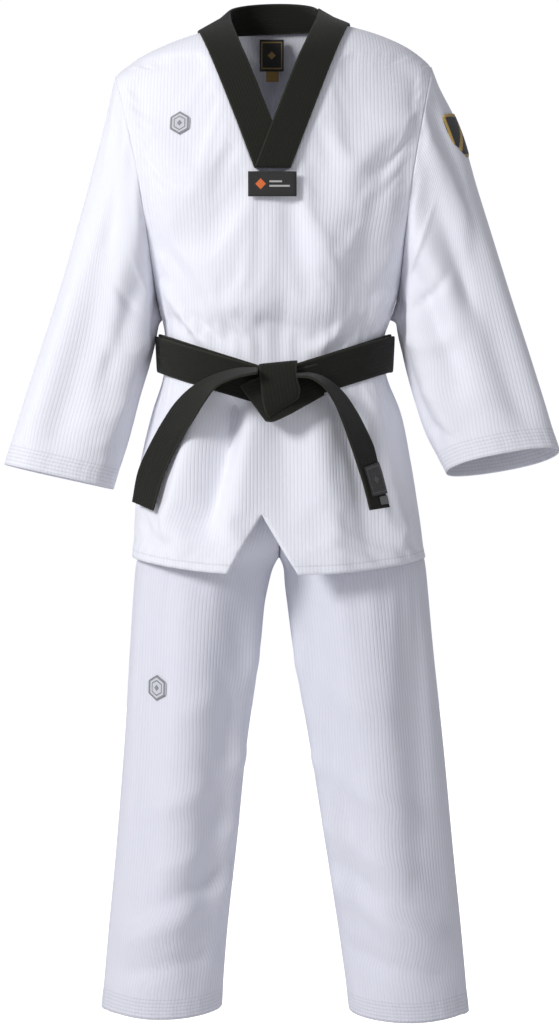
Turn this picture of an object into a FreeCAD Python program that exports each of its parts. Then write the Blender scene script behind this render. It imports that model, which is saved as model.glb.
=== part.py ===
"""Martial arts uniform: a V-neck pullover jacket with black collar, a tied belt and trousers.

The uniform hangs as it is worn. +Z is up and the front faces -Y. The origin is in the neck hole, level with
the shoulder seams, where a hanger or a stand holds the jacket. "Right" and "left" are the wearer's.
"""

import FreeCAD, Part
import math
import os

import Sketcher

from FreeCAD import Placement, Rotation, Vector

doc = FreeCAD.newDocument("uniform")

# ---- Driving dimensions, in millimetres and degrees ----------------------------------------------------

SIZES = {
    "ClothThick": 2.0,          # ribbed cotton with its drape
    "FacingThick": 1.2,         # the turned-in layer of a hem
    "FacingGap": 0.3,           # between a hem facing and its panel
    "HemDepth": 26.0,           # stitched depth of the cuffs and ankle hems
    "SkirtHemDepth": 20.0,      # stitched depth of the jacket hem
    "VentHeight": 80.0,         # side vents of the jacket
    "VentGap": 3.0,
    "NotchHeight": 66.0,        # inverted V in the front hem
    "NotchHalfWidth": 48.0,
    "NotchX": -16.0,
    "CollarThick": 4.0,         # folded and quilted collar band
    "CollarWidth": 47.0,        # measured level, across one front band
    "CollarEndZ": -211.0,       # lower end of the front bands
    "CollarOuterHalf": 101.0,   # outer edges of the bands at the shoulder line
    "CollarEndHalf": 23.5,      # outer edges of the bands at their lower end
    "CollarX": -3.0,
    "BadgeThick": 1.2,          # woven labels and embroidery
    "PointLabelWide": 64.0,
    "PointLabelTall": 33.0,
    "NeckLabelWide": 36.0,
    "NeckLabelTall": 47.0,
    "NeckLabelTopZ": 11.0,
    "SizeTabWide": 18.0,
    "SizeTabTall": 15.0,
    "EmblemWide": 31.0,
    "EmblemTall": 33.0,
    "ChestEmblemX": -126.0,
    "ChestEmblemZ": -148.0,
    "ThighEmblemX": -166.0,
    "ThighEmblemZ": -904.0,
    "ShieldWide": 62.0,
    "ShieldTall": 66.0,
    "ShieldZ": -146.0,
    "BeltWide": 50.0,
    "BeltThick": 4.0,
    "BeltGap": 0.3,             # between the two turns of the belt
    "BeltHalfWidth": 158.0,     # inner face of the first turn
    "BeltHalfDepth": 119.0,
    "BeltSideZ": -447.0,        # middle of the belt at the side seams
    "BeltBackZ": -441.0,
    "BeltDip": 40.0,            # how much lower the belt is at the knot
    "WaistbandTall": 42.0,
    "WaistbandThick": 6.0,
    "ElasticTall": 34.0,
    "ElasticThick": 1.5,
    "SeatLowZ": -748.0,         # lower edge of the seat, level with the crotch
    "GussetHalf": 46.0,         # half diagonal of the crotch gusset
}

# Each tube of cloth is a row of oval stations: centre X, Y, Z, half width, half depth, tilt about Y, pitch about X.
QUANTITIES = ("X", "Y", "Z", "HalfWidth", "HalfDepth", "Tilt", "Pitch")
TUBES = {
    "Torso": {
        "Neck": (-2, 5, 0, 101, 88, -1.5, 12),
        "Shoulder": (-2, 3, -62, 250, 122, -2.2, 4),
        "Chest": (-2, 0, -230, 240, 136, 0, 0),
        "Underarm": (2, 0, -392, 163, 122, 0, 0),
        "BeltTop": (0, 0, -420, 152, 109, 0, 0),
        "BeltLow": (0, 0, -476, 152, 109, 0, 0),
        "Flare": (-3, 0, -530, 177, 119, 0, 0),
        "Hip": (0, 0, -600, 190, 129, 0, 0),
        "Hem": (5, 0, -735, 207, 142, 0, 0),
    },
    "RightSleeve": {
        "Armhole": (-193, 0, -232, 172, 84, -99.9, 0),
        "Upper": (-226, -4, -346, 98, 72, -121.3, 0),
        "Elbow": (-262, -12, -469, 78, 60, -149.7, 0),
        "Cuff": (-306, -20, -618, 77, 52, -166.8, -2),
    },
    "LeftSleeve": {
        "Armhole": (196, 0, -223, 180, 86, -82.8, 0),
        "Upper": (242, -12, -346, 104, 76, -53.7, 0),
        "Elbow": (278, -36, -476, 88, 62, -31.7, -4),
        "Cuff": (318, -66, -600, 78, 50, -10.3, -14),
    },
    "RightSeat": {
        "Waist": (-2, 0, -520, 146, 96, 0, 0),
        "Hip": (0, 2, -610, 168, 112, 0, 0),
        "Crotch": (-100, 4, -748, 90, 88, 0, 0),
    },
    "LeftSeat": {
        "Waist": (-2, 0, -520, 146, 96, 0, 0),
        "Hip": (0, 2, -610, 168, 112, 0, 0),
        "Crotch": (104, 4, -748, 100, 88, 0, 0),
    },
    "RightLeg": {
        "Top": (-100, 4, -749, 90, 88, 0, 0),
        "Thigh": (-110, 4, -800, 93, 90, 0, 0),
        "Ankle": (-158, 12, -1346, 82, 72, 0, 2),
    },
    "LeftLeg": {
        "Top": (104, 4, -749, 100, 88, 0, 0),
        "Thigh": (114, 4, -800, 105, 90, 0, 0),
        "Ankle": (190, 12, -1351, 82, 72, 0, 2),
    },
    "CollarStand": {
        "Foot": (-2, 5, 1, 102, 89, -1.5, 12),
        "Rim": (-2, 6, 37, 66, 64, 0, 21),
    },
}
ARMHOLES = {"Right": (-193, -232, 80.1), "Left": (195, -223, -82.8)}

sheet = doc.addObject("Spreadsheet::Sheet", "Sizes")
cells = dict(SIZES)
for tube, stations in TUBES.items():
    for station, values in stations.items():
        for quantity, value in zip(QUANTITIES, values):
            cells[tube + station + quantity] = value
for row, (alias, value) in enumerate(cells.items(), start=1):
    sheet.set(f"A{row}", alias)
    sheet.set(f"B{row}", str(value))
    sheet.setAlias(f"B{row}", alias)
doc.recompute()


def size(alias):
    """The value of one cell."""
    return float(sheet.get(alias))


# ---- Shared makers -------------------------------------------------------------------------------------


def station_oval(name, tube, station, grow):
    """An ellipse at one station of a tube, its radii bound to the sheet; grow is an expression added to both."""
    oval = doc.addObject("Part::Ellipse", name)
    key = tube + station
    tilt = Rotation(Vector(0, 1, 0), size(key + "Tilt"))
    pitch = Rotation(Vector(1, 0, 0), size(key + "Pitch"))
    oval.Placement = Placement(Vector(0, 0, 0), pitch.multiply(tilt))
    for axis in "XYZ":
        oval.setExpression(f".Placement.Base.{axis.lower()}", f"Sizes.{key}{axis}")
    oval.setExpression("MajorRadius", f"Sizes.{key}HalfWidth + {grow}")
    oval.setExpression("MinorRadius", f"Sizes.{key}HalfDepth + {grow}")
    return oval


def tube_loft(name, tube, grow="0 * Sizes.ClothThick"):
    """A solid lofted straight from station to station of a tube."""
    ovals = [station_oval(f"{name}_{s}", tube, s, grow) for s in TUBES[tube]]
    loft = doc.addObject("Part::Loft", name)
    loft.Sections = ovals
    loft.Solid = True
    loft.Ruled = True
    return loft


def station_place(tube, station):
    """Where a station's plane lies."""
    key = tube + station
    turn = Rotation(Vector(1, 0, 0), size(key + "Pitch")).multiply(Rotation(Vector(0, 1, 0), size(key + "Tilt")))
    return Placement(Vector(size(key + "X"), size(key + "Y"), size(key + "Z")), turn)


def tube_wall(name, tube, out, inward, last=0, arc=(0, 360)):
    """The wall of a tube, or of one side of it: ruled from oval to oval, outside and inside, with flat ends."""
    rows = []
    for station in list(TUBES[tube])[-last:]:
        key = tube + station
        row = []
        for grow in (out, inward):
            ring = Part.Ellipse(Vector(0, 0, 0), size(key + "HalfWidth") + grow, size(key + "HalfDepth") + grow)
            edge = ring.toShape(math.radians(arc[0]), math.radians(arc[1]))
            edge.Placement = station_place(tube, station)
            row.append(edge)
        rows.append(row)
    faces = [Part.makeRuledSurface(a[k], b[k]) for a, b in zip(rows, rows[1:]) for k in (0, 1)]
    if arc[1] - arc[0] == 360:
        for row in (rows[0], rows[-1]):
            faces.append(Part.makeFace([Part.Wire(edge) for edge in row], "Part::FaceMakerBullseye"))
    else:
        sides = [[Part.makeLine(o.valueAt(at(o)), i.valueAt(at(i))) for at in (first_of, last_of)] for o, i in rows]
        faces += [Part.makeRuledSurface(a[k], b[k]) for a, b in zip(sides, sides[1:]) for k in (0, 1)]
        for row, side in ((rows[0], sides[0]), (rows[-1], sides[-1])):
            faces.append(Part.Face(Part.Wire(Part.__sortEdges__(row + side))))
    shell = Part.makeShell(faces)
    shell.sewShape()
    solid = Part.makeSolid(shell)
    if solid.Volume < 0:
        solid.reverse()
    wall = doc.addObject("Part::Feature", name)
    wall.Shape = solid
    return wall


def first_of(edge):
    return edge.FirstParameter


def last_of(edge):
    return edge.LastParameter


def cut(name, base, *tools):
    """base with each tool taken away in turn."""
    for i, tool in enumerate(tools):
        result = doc.addObject("Part::Cut", name if len(tools) == 1 else f"{name}_{i + 1}")
        result.Base = base
        result.Tool = tool
        base = result
    return base


def fuse(name, *shapes):
    result = doc.addObject("Part::MultiFuse", name)
    result.Shapes = list(shapes)
    return result


def common(name, base, tool):
    result = doc.addObject("Part::Common", name)
    result.Base = base
    result.Tool = tool
    return result


def block(name, low, high):
    """A box between two corners."""
    box = doc.addObject("Part::Box", name)
    box.Length, box.Width, box.Height = (b - a for a, b in zip(low, high))
    box.Placement.Base = Vector(*low)
    return box


def prism(name, outline, low, high, plane="XZ"):
    """A closed outline of (across, z) points, drawn as a sketch and extruded from low to high along the third axis."""
    sketch = doc.addObject("Sketcher::SketchObject", name + "_sketch")
    turn = Rotation(Vector(1, 0, 0), 90) if plane == "XZ" else Rotation(Vector(0, 1, 0), -90)
    flat = [Vector(a, z, 0) if plane == "XZ" else Vector(z, -a, 0) for a, z in outline]
    along = Vector(0, 1, 0) if plane == "XZ" else Vector(1, 0, 0)
    sketch.Placement = Placement(along * low, turn)
    for i, start in enumerate(flat):
        sketch.addGeometry(Part.LineSegment(start, flat[(i + 1) % len(flat)]), False)
    for i in range(len(flat)):
        sketch.addConstraint(Sketcher.Constraint("Coincident", i, 2, (i + 1) % len(flat), 1))
    solid = doc.addObject("Part::Extrusion", name)
    solid.Base = sketch
    solid.DirMode = "Custom"
    solid.Dir = along
    solid.LengthFwd = high - low
    solid.Solid = True
    return solid


def strap(label, stations, wide, thick, closed=False):
    """A flat strap lofted straight through rectangles; a station is (middle, across, outward)."""
    wires = []
    for middle, across, outward in stations:
        middle, across, outward = Vector(*middle), Vector(*across), Vector(*outward)
        across.normalize()
        outward = outward - across * outward.dot(across)
        outward.normalize()
        half = across * (wide / 2)
        corners = [middle + half, middle - half, middle - half + outward * thick, middle + half + outward * thick]
        wires.append(Part.makePolygon(corners + corners[:1]))
    solid = doc.addObject("Part::Feature", label)
    solid.Shape = Part.makeLoft(wires, True, True, closed)
    return solid


pieces = {}


def keep(label, shape):
    """Names a finished sub-part; its file takes this name."""
    shape.Label = label
    pieces[label] = shape
    return shape


# ---- Jacket body: front and back panels ----------------------------------------------------------------

REACH = 400.0        # past every side of the garment
FRONT = block("front_half", (-REACH, -REACH, -1500), (REACH, 0, 200))
BACK = block("back_half", (-REACH, 0, -1500), (REACH, REACH, 200))

FRONT_ARC, BACK_ARC = (180, 360), (0, 180)
cloth = size("ClothThick")


def armhole_block(side):
    """Everything outside an armhole's plane, as a tilted box."""
    x, z, tilt = ARMHOLES[side]
    box = doc.addObject("Part::Box", side.lower() + "_armhole")
    below = size(side + "SleeveArmholeHalfWidth") - 4
    box.Length, box.Width, box.Height = REACH, 2 * REACH, REACH + below
    lean = Rotation(Vector(0, 1, 0), tilt - 90 if x < 0 else tilt + 90)
    start = Vector(-REACH if x < 0 else 0, -REACH, -below)
    box.Placement = Placement(Vector(x, 0, z) + lean.multVec(start), lean)
    return box


collar_x = size("CollarX")
outer_half = size("CollarOuterHalf")
end_half = size("CollarEndHalf")
end_z = size("CollarEndZ")
slope = (outer_half - end_half) / -end_z          # how fast a band's edge nears the middle
RISE = 40.0                                       # outlines run this far past the shoulder line
top_half = outer_half + slope * RISE
V_OUTLINE = [
    (collar_x - top_half, RISE), (collar_x - end_half, end_z),
    (collar_x + end_half, end_z), (collar_x + top_half, RISE),
]
neck_prism = prism("neck_prism", V_OUTLINE, -REACH, 0)
notch_x, notch_half = size("NotchX"), size("NotchHalfWidth")
hem_z = size("TorsoHemZ")
notch_slope = notch_half / size("NotchHeight")
notch_prism = prism(
    "notch_prism",
    [
        (notch_x - notch_half - 10 * notch_slope, hem_z - 10),
        (notch_x + notch_half + 10 * notch_slope, hem_z - 10),
        (notch_x, hem_z + size("NotchHeight")),
    ],
    -REACH, 0,
)
vent = size("VentGap") / 2
vent_slot = block("vent_slot", (-REACH, -vent, hem_z - 10), (REACH, vent, hem_z + size("VentHeight")))
armholes = [armhole_block("Right"), armhole_block("Left")]

front_shell = tube_wall("front_shell", "Torso", 0, -cloth, arc=FRONT_ARC)
back_shell = tube_wall("back_shell", "Torso", 0, -cloth, arc=BACK_ARC)
keep("jacket_front", cut("front_panel", front_shell, neck_prism, notch_prism, vent_slot, *armholes))
keep("jacket_back", cut("back_panel", back_shell, vent_slot, *armholes))

# Hem facing: the layer turned up inside the hem, one strip each side of the notch and one at the back.
hem_out = -cloth - size("FacingGap")
hem_in = hem_out - size("FacingThick")
hem_front = tube_wall("hem_front", "Torso", hem_out, hem_in, last=2, arc=FRONT_ARC)
hem_back = tube_wall("hem_back", "Torso", hem_out, hem_in, last=2, arc=BACK_ARC)
hem_top = hem_z + size("SkirtHemDepth")
for side, low_x, high_x in (("right", -REACH, notch_x), ("left", notch_x, REACH)):
    quarter = block(f"hem_{side}_quarter", (low_x, -REACH, -1500), (high_x, -vent, hem_top))
    strip = common(f"hem_{side}_strip", hem_front, quarter)
    keep(f"hem_facing_front_{side}", cut(f"hem_{side}", strip, notch_prism))
back_half = block("hem_back_half", (-REACH, vent, -1500), (REACH, REACH, hem_top))
keep("hem_facing_back", common("hem_back_strip", hem_back, back_half))

# ---- Collar: two front bands and the stand round the back of the neck -----------------------------------

band_front = tube_wall("band_front", "Torso", size("CollarThick") - cloth, -cloth, arc=FRONT_ARC)
wide = size("CollarWidth")
LEFT_BAND = [
    (collar_x + top_half, RISE), (collar_x + top_half - wide, RISE),
    (collar_x + end_half - wide, end_z), (collar_x + end_half, end_z),
]
RIGHT_BAND = [
    (collar_x - top_half, RISE), (collar_x - end_half, end_z),
    (collar_x - end_half + wide, end_z), (collar_x - top_half + wide, RISE),
]
left_band = prism("left_band", LEFT_BAND, -REACH, 0)
right_band = prism("right_band", RIGHT_BAND, -REACH, 0)
keep("collar_left_band", common("collar_left", band_front, left_band))
keep("collar_right_band", common("collar_right", cut("right_under", band_front, left_band), right_band))

stand_outer = tube_loft("stand_outer", "CollarStand")
stand_inner = tube_loft("stand_inner", "CollarStand", "-Sizes.CollarThick")
stand_half = common("stand_half", cut("stand_shell", stand_outer, stand_inner), BACK)
keep("collar_back_stand", stand_half)

# ---- Labels and embroidery on the jacket ----------------------------------------------------------------


def rectangle(x, top, wide, tall):
    return [(x - wide / 2, top), (x + wide / 2, top), (x + wide / 2, top - tall), (x - wide / 2, top - tall)]


def lozenge(x, z, wide, tall):
    """A six-sided badge, pointed above and below."""
    return [
        (x, z + tall / 2), (x + wide / 2, z + tall / 4), (x + wide / 2, z - tall / 4),
        (x, z - tall / 2), (x - wide / 2, z - tall / 4), (x - wide / 2, z + tall / 4),
    ]


badge = size("BadgeThick")
badge_front = tube_wall("badge_front", "Torso", 0.1 + badge, 0.1, arc=FRONT_ARC)
point_outline = rectangle(collar_x - 1, end_z, size("PointLabelWide"), size("PointLabelTall"))
keep("collar_point_label", common("point_label", badge_front, prism("point_prism", point_outline, -REACH, 0)))
chest_outline = lozenge(size("ChestEmblemX"), size("ChestEmblemZ"), size("EmblemWide"), size("EmblemTall"))
keep("chest_emblem", common("chest_badge", badge_front, prism("chest_prism", chest_outline, -REACH, 0)))


def plate(label, wide, tall, middle):
    """A flat woven label, padded from a centred rectangle sketch; wide and tall are aliases."""
    body = doc.addObject("PartDesign::Body", label + "_body")
    sketch = body.newObject("Sketcher::SketchObject", label + "_outline")
    planes = {f.Role: f for f in body.Origin.OriginFeatures}
    sketch.AttachmentSupport = [(planes["XZ_Plane"], "")]
    sketch.MapMode = "FlatFace"
    w, t = size(wide) / 2, size(tall) / 2
    corners = [Vector(-w, -t, 0), Vector(w, -t, 0), Vector(w, t, 0), Vector(-w, t, 0)]
    for i in range(4):
        sketch.addGeometry(Part.LineSegment(corners[i], corners[(i + 1) % 4]), False)
    for i in range(4):
        sketch.addConstraint(Sketcher.Constraint("Coincident", i, 2, (i + 1) % 4, 1))
    for i, kind in enumerate(("Horizontal", "Vertical", "Horizontal", "Vertical")):
        sketch.addConstraint(Sketcher.Constraint(kind, i))
    sketch.addConstraint(Sketcher.Constraint("Symmetric", 0, 1, 2, 1, -1, 1))
    across = sketch.addConstraint(Sketcher.Constraint("DistanceX", 0, 1, 0, 2, 2 * w))
    upright = sketch.addConstraint(Sketcher.Constraint("DistanceY", 1, 1, 1, 2, 2 * t))
    sketch.setExpression(f"Constraints[{across}]", f"Sizes.{wide}")
    sketch.setExpression(f"Constraints[{upright}]", f"Sizes.{tall}")
    pad = body.newObject("PartDesign::Pad", label + "_pad")
    pad.Profile = sketch
    pad.setExpression("Length", "Sizes.BadgeThick")
    body.Placement.Base = Vector(*middle)
    return keep(label, body)


LABEL_Y = 84.0       # the neck label hangs just inside the back panel
label_top = size("NeckLabelTopZ")
label_mid = label_top - size("NeckLabelTall") / 2
tab_mid = label_top - size("NeckLabelTall") - size("SizeTabTall") / 2 + 3
plate("neck_label", "NeckLabelWide", "NeckLabelTall", (collar_x, LABEL_Y, label_mid))
plate("size_tab", "SizeTabWide", "SizeTabTall", (collar_x, LABEL_Y + 2, tab_mid))

# ---- Sleeves: a tapered tube each, with a stitched facing inside the cuff --------------------------------


def limb_facing(name, tube, depth):
    """The layer turned in at the lower end of a tube, cut level with its last station."""
    place = station_place(tube, list(TUBES[tube])[-1])
    turn = place.Rotation
    slab = doc.addObject("Part::Box", name + "_slab")
    slab.Length, slab.Width, slab.Height = REACH, REACH, depth
    foot = 0 if turn.multVec(Vector(0, 0, 1)).z > 0 else -depth
    slab.Placement = Placement(place.Base + turn.multVec(Vector(-REACH / 2, -REACH / 2, foot)), turn)
    out = -size("ClothThick") - size("FacingGap")
    layer = tube_wall(name + "_layer", tube, out, out - size("FacingThick"), last=2)
    return common(name, layer, slab)


for side in ("Right", "Left"):
    tube = side + "Sleeve"
    keep(side.lower() + "_sleeve", tube_wall(tube + "_wall", tube, 0, -size("ClothThick")))
    keep(side.lower() + "_cuff_facing", limb_facing(tube + "_facing", tube, size("HemDepth")))

shield_w, shield_t, shield_z = size("ShieldWide") / 2, size("ShieldTall"), size("ShieldZ")
SHIELD = [
    (-shield_w, shield_z + shield_t * 0.46), (0, shield_z + shield_t * 0.54), (shield_w, shield_z + shield_t * 0.46),
    (shield_w, shield_z), (shield_w * 0.6, shield_z - shield_t * 0.28), (0, shield_z - shield_t * 0.46),
    (-shield_w * 0.6, shield_z - shield_t * 0.28), (-shield_w, shield_z),
]
shield_prism = prism("shield_prism", SHIELD, 200, REACH, plane="YZ")
sleeve_skin = tube_wall("sleeve_skin", "LeftSleeve", 0.1 + size("BadgeThick"), 0.1)
keep("shoulder_shield", common("shield_badge", sleeve_skin, shield_prism))

# ---- Trousers: seat, gusset, waistband, elastic and two legs ---------------------------------------------


def seat_solid(name, grow):
    """Both halves of the seat as one solid."""
    return fuse(name, tube_loft(name + "_right", "RightSeat", grow), tube_loft(name + "_left", "LeftSeat", grow))


seat_outer = seat_solid("seat_outer", "0 * Sizes.ClothThick")
seat_inner = seat_solid("seat_inner", "-Sizes.ClothThick")
seat_shell = cut("seat_shell", seat_outer, seat_inner)
low_z = size("SeatLowZ")
half = size("GussetHalf")
GUSSET = [(-half, low_z - half), (half, low_z - half), (half, low_z + half * 0.9), (-half, low_z + half * 0.9)]
gusset_prism = prism("gusset_prism", GUSSET, -half, half)
keep("seat_front", cut("seat_front_panel", common("seat_front_half", seat_shell, FRONT), gusset_prism))
keep("seat_back", cut("seat_back_panel", common("seat_back_half", seat_shell, BACK), gusset_prism))
keep("crotch_gusset", common("gusset", seat_shell, gusset_prism))

waist_x = size("RightSeatWaistX")
waist_y = size("RightSeatWaistY")
waist_z = size("RightSeatWaistZ")


def waist_ring(name, grow_out, grow_in, low, tall):
    """An upright oval ring over the seat's waist; the grows are expressions added to its radii."""
    solids = []
    for part, grow in (("out", grow_out), ("in", grow_in)):
        oval = doc.addObject("Part::Ellipse", f"{name}_{part}_oval")
        oval.Placement.Base = Vector(waist_x, waist_y, waist_z + low)
        oval.setExpression("MajorRadius", f"Sizes.RightSeatWaistHalfWidth + {grow}")
        oval.setExpression("MinorRadius", f"Sizes.RightSeatWaistHalfDepth + {grow}")
        solid = doc.addObject("Part::Extrusion", f"{name}_{part}")
        solid.Base = oval
        solid.DirMode = "Custom"
        solid.Dir = Vector(0, 0, 1)
        solid.LengthFwd = tall
        solid.Solid = True
        solids.append(solid)
    return cut(name, *solids)


# The casing is folded over the elastic and open below, like an upside-down U.
band_tall = size("WaistbandTall")
elastic_tall = size("ElasticTall")
SLACK = 0.4          # between the elastic and the casing that it runs in
band_ring = waist_ring("band_ring", "0 * Sizes.ClothThick", "-Sizes.WaistbandThick", 0, band_tall)
elastic_mid = "-Sizes.WaistbandThick / 2"
band_hollow = waist_ring(
    "band_hollow", f"{elastic_mid} + Sizes.ElasticThick / 2 + {SLACK}",
    f"{elastic_mid} - Sizes.ElasticThick / 2 - {SLACK}", -5, elastic_tall + 5 + 3,
)
keep("waistband_casing", cut("waistband", band_ring, band_hollow))
keep("waist_elastic", waist_ring(
    "elastic", f"{elastic_mid} + Sizes.ElasticThick / 2", f"{elastic_mid} - Sizes.ElasticThick / 2", 2, elastic_tall,
))

for side in ("Right", "Left"):
    tube = side + "Leg"
    keep(side.lower() + "_leg_front", tube_wall(tube + "_front", tube, 0, -cloth, arc=FRONT_ARC))
    keep(side.lower() + "_leg_back", tube_wall(tube + "_back", tube, 0, -cloth, arc=BACK_ARC))
    keep(side.lower() + "_ankle_facing", limb_facing(tube + "_facing", tube, size("HemDepth")))

thigh_outline = lozenge(size("ThighEmblemX"), size("ThighEmblemZ"), size("EmblemWide"), size("EmblemTall"))
leg_skin = tube_wall("leg_skin", "RightLeg", 0.1 + badge, 0.1, arc=FRONT_ARC)
keep("thigh_emblem", common("thigh_badge", leg_skin, prism("thigh_prism", thigh_outline, -REACH, 0)))

# ---- Belt: two turns round the waist, the knot and two tails ----------------------------------------------

wide, thick = size("BeltWide"), size("BeltThick")
TURN_STATIONS = 32


def belt_turn(label, grow):
    """One turn of the belt: an oval that dips towards the knot at the front."""
    across, deep = size("BeltHalfWidth") + grow, size("BeltHalfDepth") + grow
    stations = []
    for i in range(TURN_STATIONS):
        angle = 2 * math.pi * i / TURN_STATIONS
        front = max(0.0, -math.sin(angle))
        back = max(0.0, math.sin(angle))
        z = size("BeltSideZ") - size("BeltDip") * (1 - math.sqrt(1 - front ** 2)) ** 0.9
        z += (size("BeltBackZ") - size("BeltSideZ")) * back ** 1.6
        outward = (math.cos(angle) / across, math.sin(angle) / deep, 0)
        stations.append(((across * math.cos(angle), deep * math.sin(angle), z), (0, 0, 1), outward))
    return keep(label, strap(label, stations, wide, thick, closed=True))


belt_turn("belt_inner_turn", 0)
belt_turn("belt_outer_turn", thick + size("BeltGap"))

# The knot: a band wound down over the front, on a slanting fold that the tails come out of.
knot_y = -(size("BeltHalfDepth") + 2 * thick + size("BeltGap") + 1)
knot_z = size("BeltSideZ") - size("BeltDip")
KNOT_LOOP = [
    ((5, knot_y - 2, knot_z + 28), (1, 0, 0.06), (0, -0.4, 1)),
    ((5, knot_y - 17, knot_z + 29), (1, 0, 0.06), (0, -1, 1)),
    ((6, knot_y - 26, knot_z + 18), (1, 0, 0.06), (0, -1, 0.3)),
    ((6, knot_y - 29, knot_z - 2), (1, 0, 0.08), (0, -1, 0)),
    ((7, knot_y - 26, knot_z - 20), (1, 0, 0.15), (0, -1, -0.3)),
    ((8, knot_y - 15, knot_z - 34), (1, 0, 0.25), (0, -1, -1)),
]
keep("belt_knot_loop", strap("knot_loop", KNOT_LOOP, wide, thick))
KNOT_FOLD = [
    ((-30, knot_y - 1, knot_z - 8), (0.45, 0, 1), (0, -1, 0)),
    ((-18, knot_y - 7, knot_z - 13), (0.4, 0, 1), (-0.3, -1, 0)),
    ((2, knot_y - 10, knot_z - 20), (0.2, 0, 1), (0, -1, 0)),
    ((24, knot_y - 7, knot_z - 14), (-0.1, 0, 1), (0.3, -1, 0)),
    ((33, knot_y - 2, knot_z - 6), (-0.2, 0, 1), (0, -1, 0)),
]
keep("belt_knot_fold", strap("knot_fold", KNOT_FOLD, wide * 0.8, thick))

# Each tail comes out of the knot with its face up and bends down over the skirt, turning towards the side.
RIGHT_TAIL = [
    ((-31, -154, -473), (0, 1, 0.55), (0, -0.5, 1)),
    ((-48, -156, -473), (0, 1, 0.55), (-0.1, -0.5, 1)),
    ((-74, -152, -484), (0.1, 1, 0.5), (-0.4, -0.5, 1)),
    ((-105, -143, -508), (-0.2, 0.9, 0.5), (-0.7, -0.6, 0.8)),
    ((-133, -128, -542), (-0.45, 0.8, 0.4), (-0.9, -0.6, 0.5)),
    ((-157, -112, -581), (-0.55, 0.76, 0.33), (-0.9, -0.7, 0.4)),
    ((-176, -98, -624), (-0.6, 0.74, 0.25), (-0.9, -0.7, 0.3)),
    ((-186, -88, -660), (-0.62, 0.74, 0.2), (-0.9, -0.7, 0.2)),
]
LEFT_TAIL = [
    ((38, -154, -483), (0, 1, 0.55), (0, -0.5, 1)),
    ((56, -156, -487), (0, 1, 0.55), (0.1, -0.5, 1)),
    ((78, -154, -501), (0, 1, 0.5), (0.5, -0.5, 1)),
    ((98, -148, -531), (0.35, 0.9, 0.4), (0.8, -0.6, 0.7)),
    ((118, -138, -566), (0.5, 0.8, 0.33), (0.9, -0.6, 0.4)),
    ((133, -126, -602), (0.6, 0.76, 0.25), (0.9, -0.7, 0.3)),
    ((143, -114, -640), (0.62, 0.74, 0.18), (0.9, -0.7, 0.2)),
    ((148, -106, -668), (0.64, 0.74, 0.1), (0.9, -0.7, 0.1)),
]
keep("belt_right_tail", strap("right_tail", RIGHT_TAIL, wide, thick))
keep("belt_left_tail", strap("left_tail", LEFT_TAIL, wide, thick))


def on_strap(label, stations, lift, wide, thick):
    """A label sewn on the outer face of a strap, over its given stations."""
    raised = []
    for middle, across, outward in stations:
        side, out = Vector(*across).normalize(), Vector(*outward)
        out = (out - side * out.dot(side)).normalize()
        raised.append((tuple(Vector(*middle) + out * lift), across, outward))
    return keep(label, strap(label, raised, wide, thick))


on_strap("belt_label", LEFT_TAIL[-2:], thick + 0.1, wide * 0.7, size("BadgeThick"))

# ---- Checks and files ------------------------------------------------------------------------------------

doc.recompute()
failed = [o.Name for o in doc.Objects if {"Invalid", "Error"} & set(o.State)]
assert not failed, f"failed objects: {failed}"
os.makedirs("parts", exist_ok=True)
for label, piece in pieces.items():
    shape = piece.Shape
    assert not shape.isNull() and shape.isValid(), f"{label} isn't a sound shape"
    assert shape.Solids and shape.Volume > 0, f"{label} has no solid"
    shape.exportStep(f"parts/{label}.step")
    print(f"{label}: {len(shape.Solids)} solid, {shape.Volume / 1000:.1f} cm3")
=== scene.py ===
"""A martial arts uniform: ribbed white jacket and trousers, black V collar and a tied black belt."""

import math

import bmesh
import bpy
import numpy as np
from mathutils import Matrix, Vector


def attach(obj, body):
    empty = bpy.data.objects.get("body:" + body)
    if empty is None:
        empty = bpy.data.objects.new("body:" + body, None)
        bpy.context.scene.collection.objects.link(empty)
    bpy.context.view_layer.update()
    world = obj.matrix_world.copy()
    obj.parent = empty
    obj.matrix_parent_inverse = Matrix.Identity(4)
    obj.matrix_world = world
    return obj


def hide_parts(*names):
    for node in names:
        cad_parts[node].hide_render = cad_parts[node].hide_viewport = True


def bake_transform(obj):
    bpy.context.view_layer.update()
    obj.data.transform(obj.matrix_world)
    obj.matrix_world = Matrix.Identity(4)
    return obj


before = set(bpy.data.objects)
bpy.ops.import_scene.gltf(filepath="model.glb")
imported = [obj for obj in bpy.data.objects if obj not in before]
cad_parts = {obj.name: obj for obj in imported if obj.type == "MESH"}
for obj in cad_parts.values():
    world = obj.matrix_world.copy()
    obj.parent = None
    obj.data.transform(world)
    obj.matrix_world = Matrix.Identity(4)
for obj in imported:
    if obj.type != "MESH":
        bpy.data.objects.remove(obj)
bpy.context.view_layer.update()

# ---- Studio ---------------------------------------------------------------------------------------------
# A pale floor under the hanging uniform, a pale sky, one large soft key from the wearer's right, a weaker
# fill from the other side and a light behind that keeps the white cloth clear of the background.

FLOOR_Z = -1.75
CAMERA_AT = (0.0063, -2.55, -0.60)
FRAME_HEIGHT, FRAME_MIDDLE_Z = 1.434, -0.6706

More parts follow.
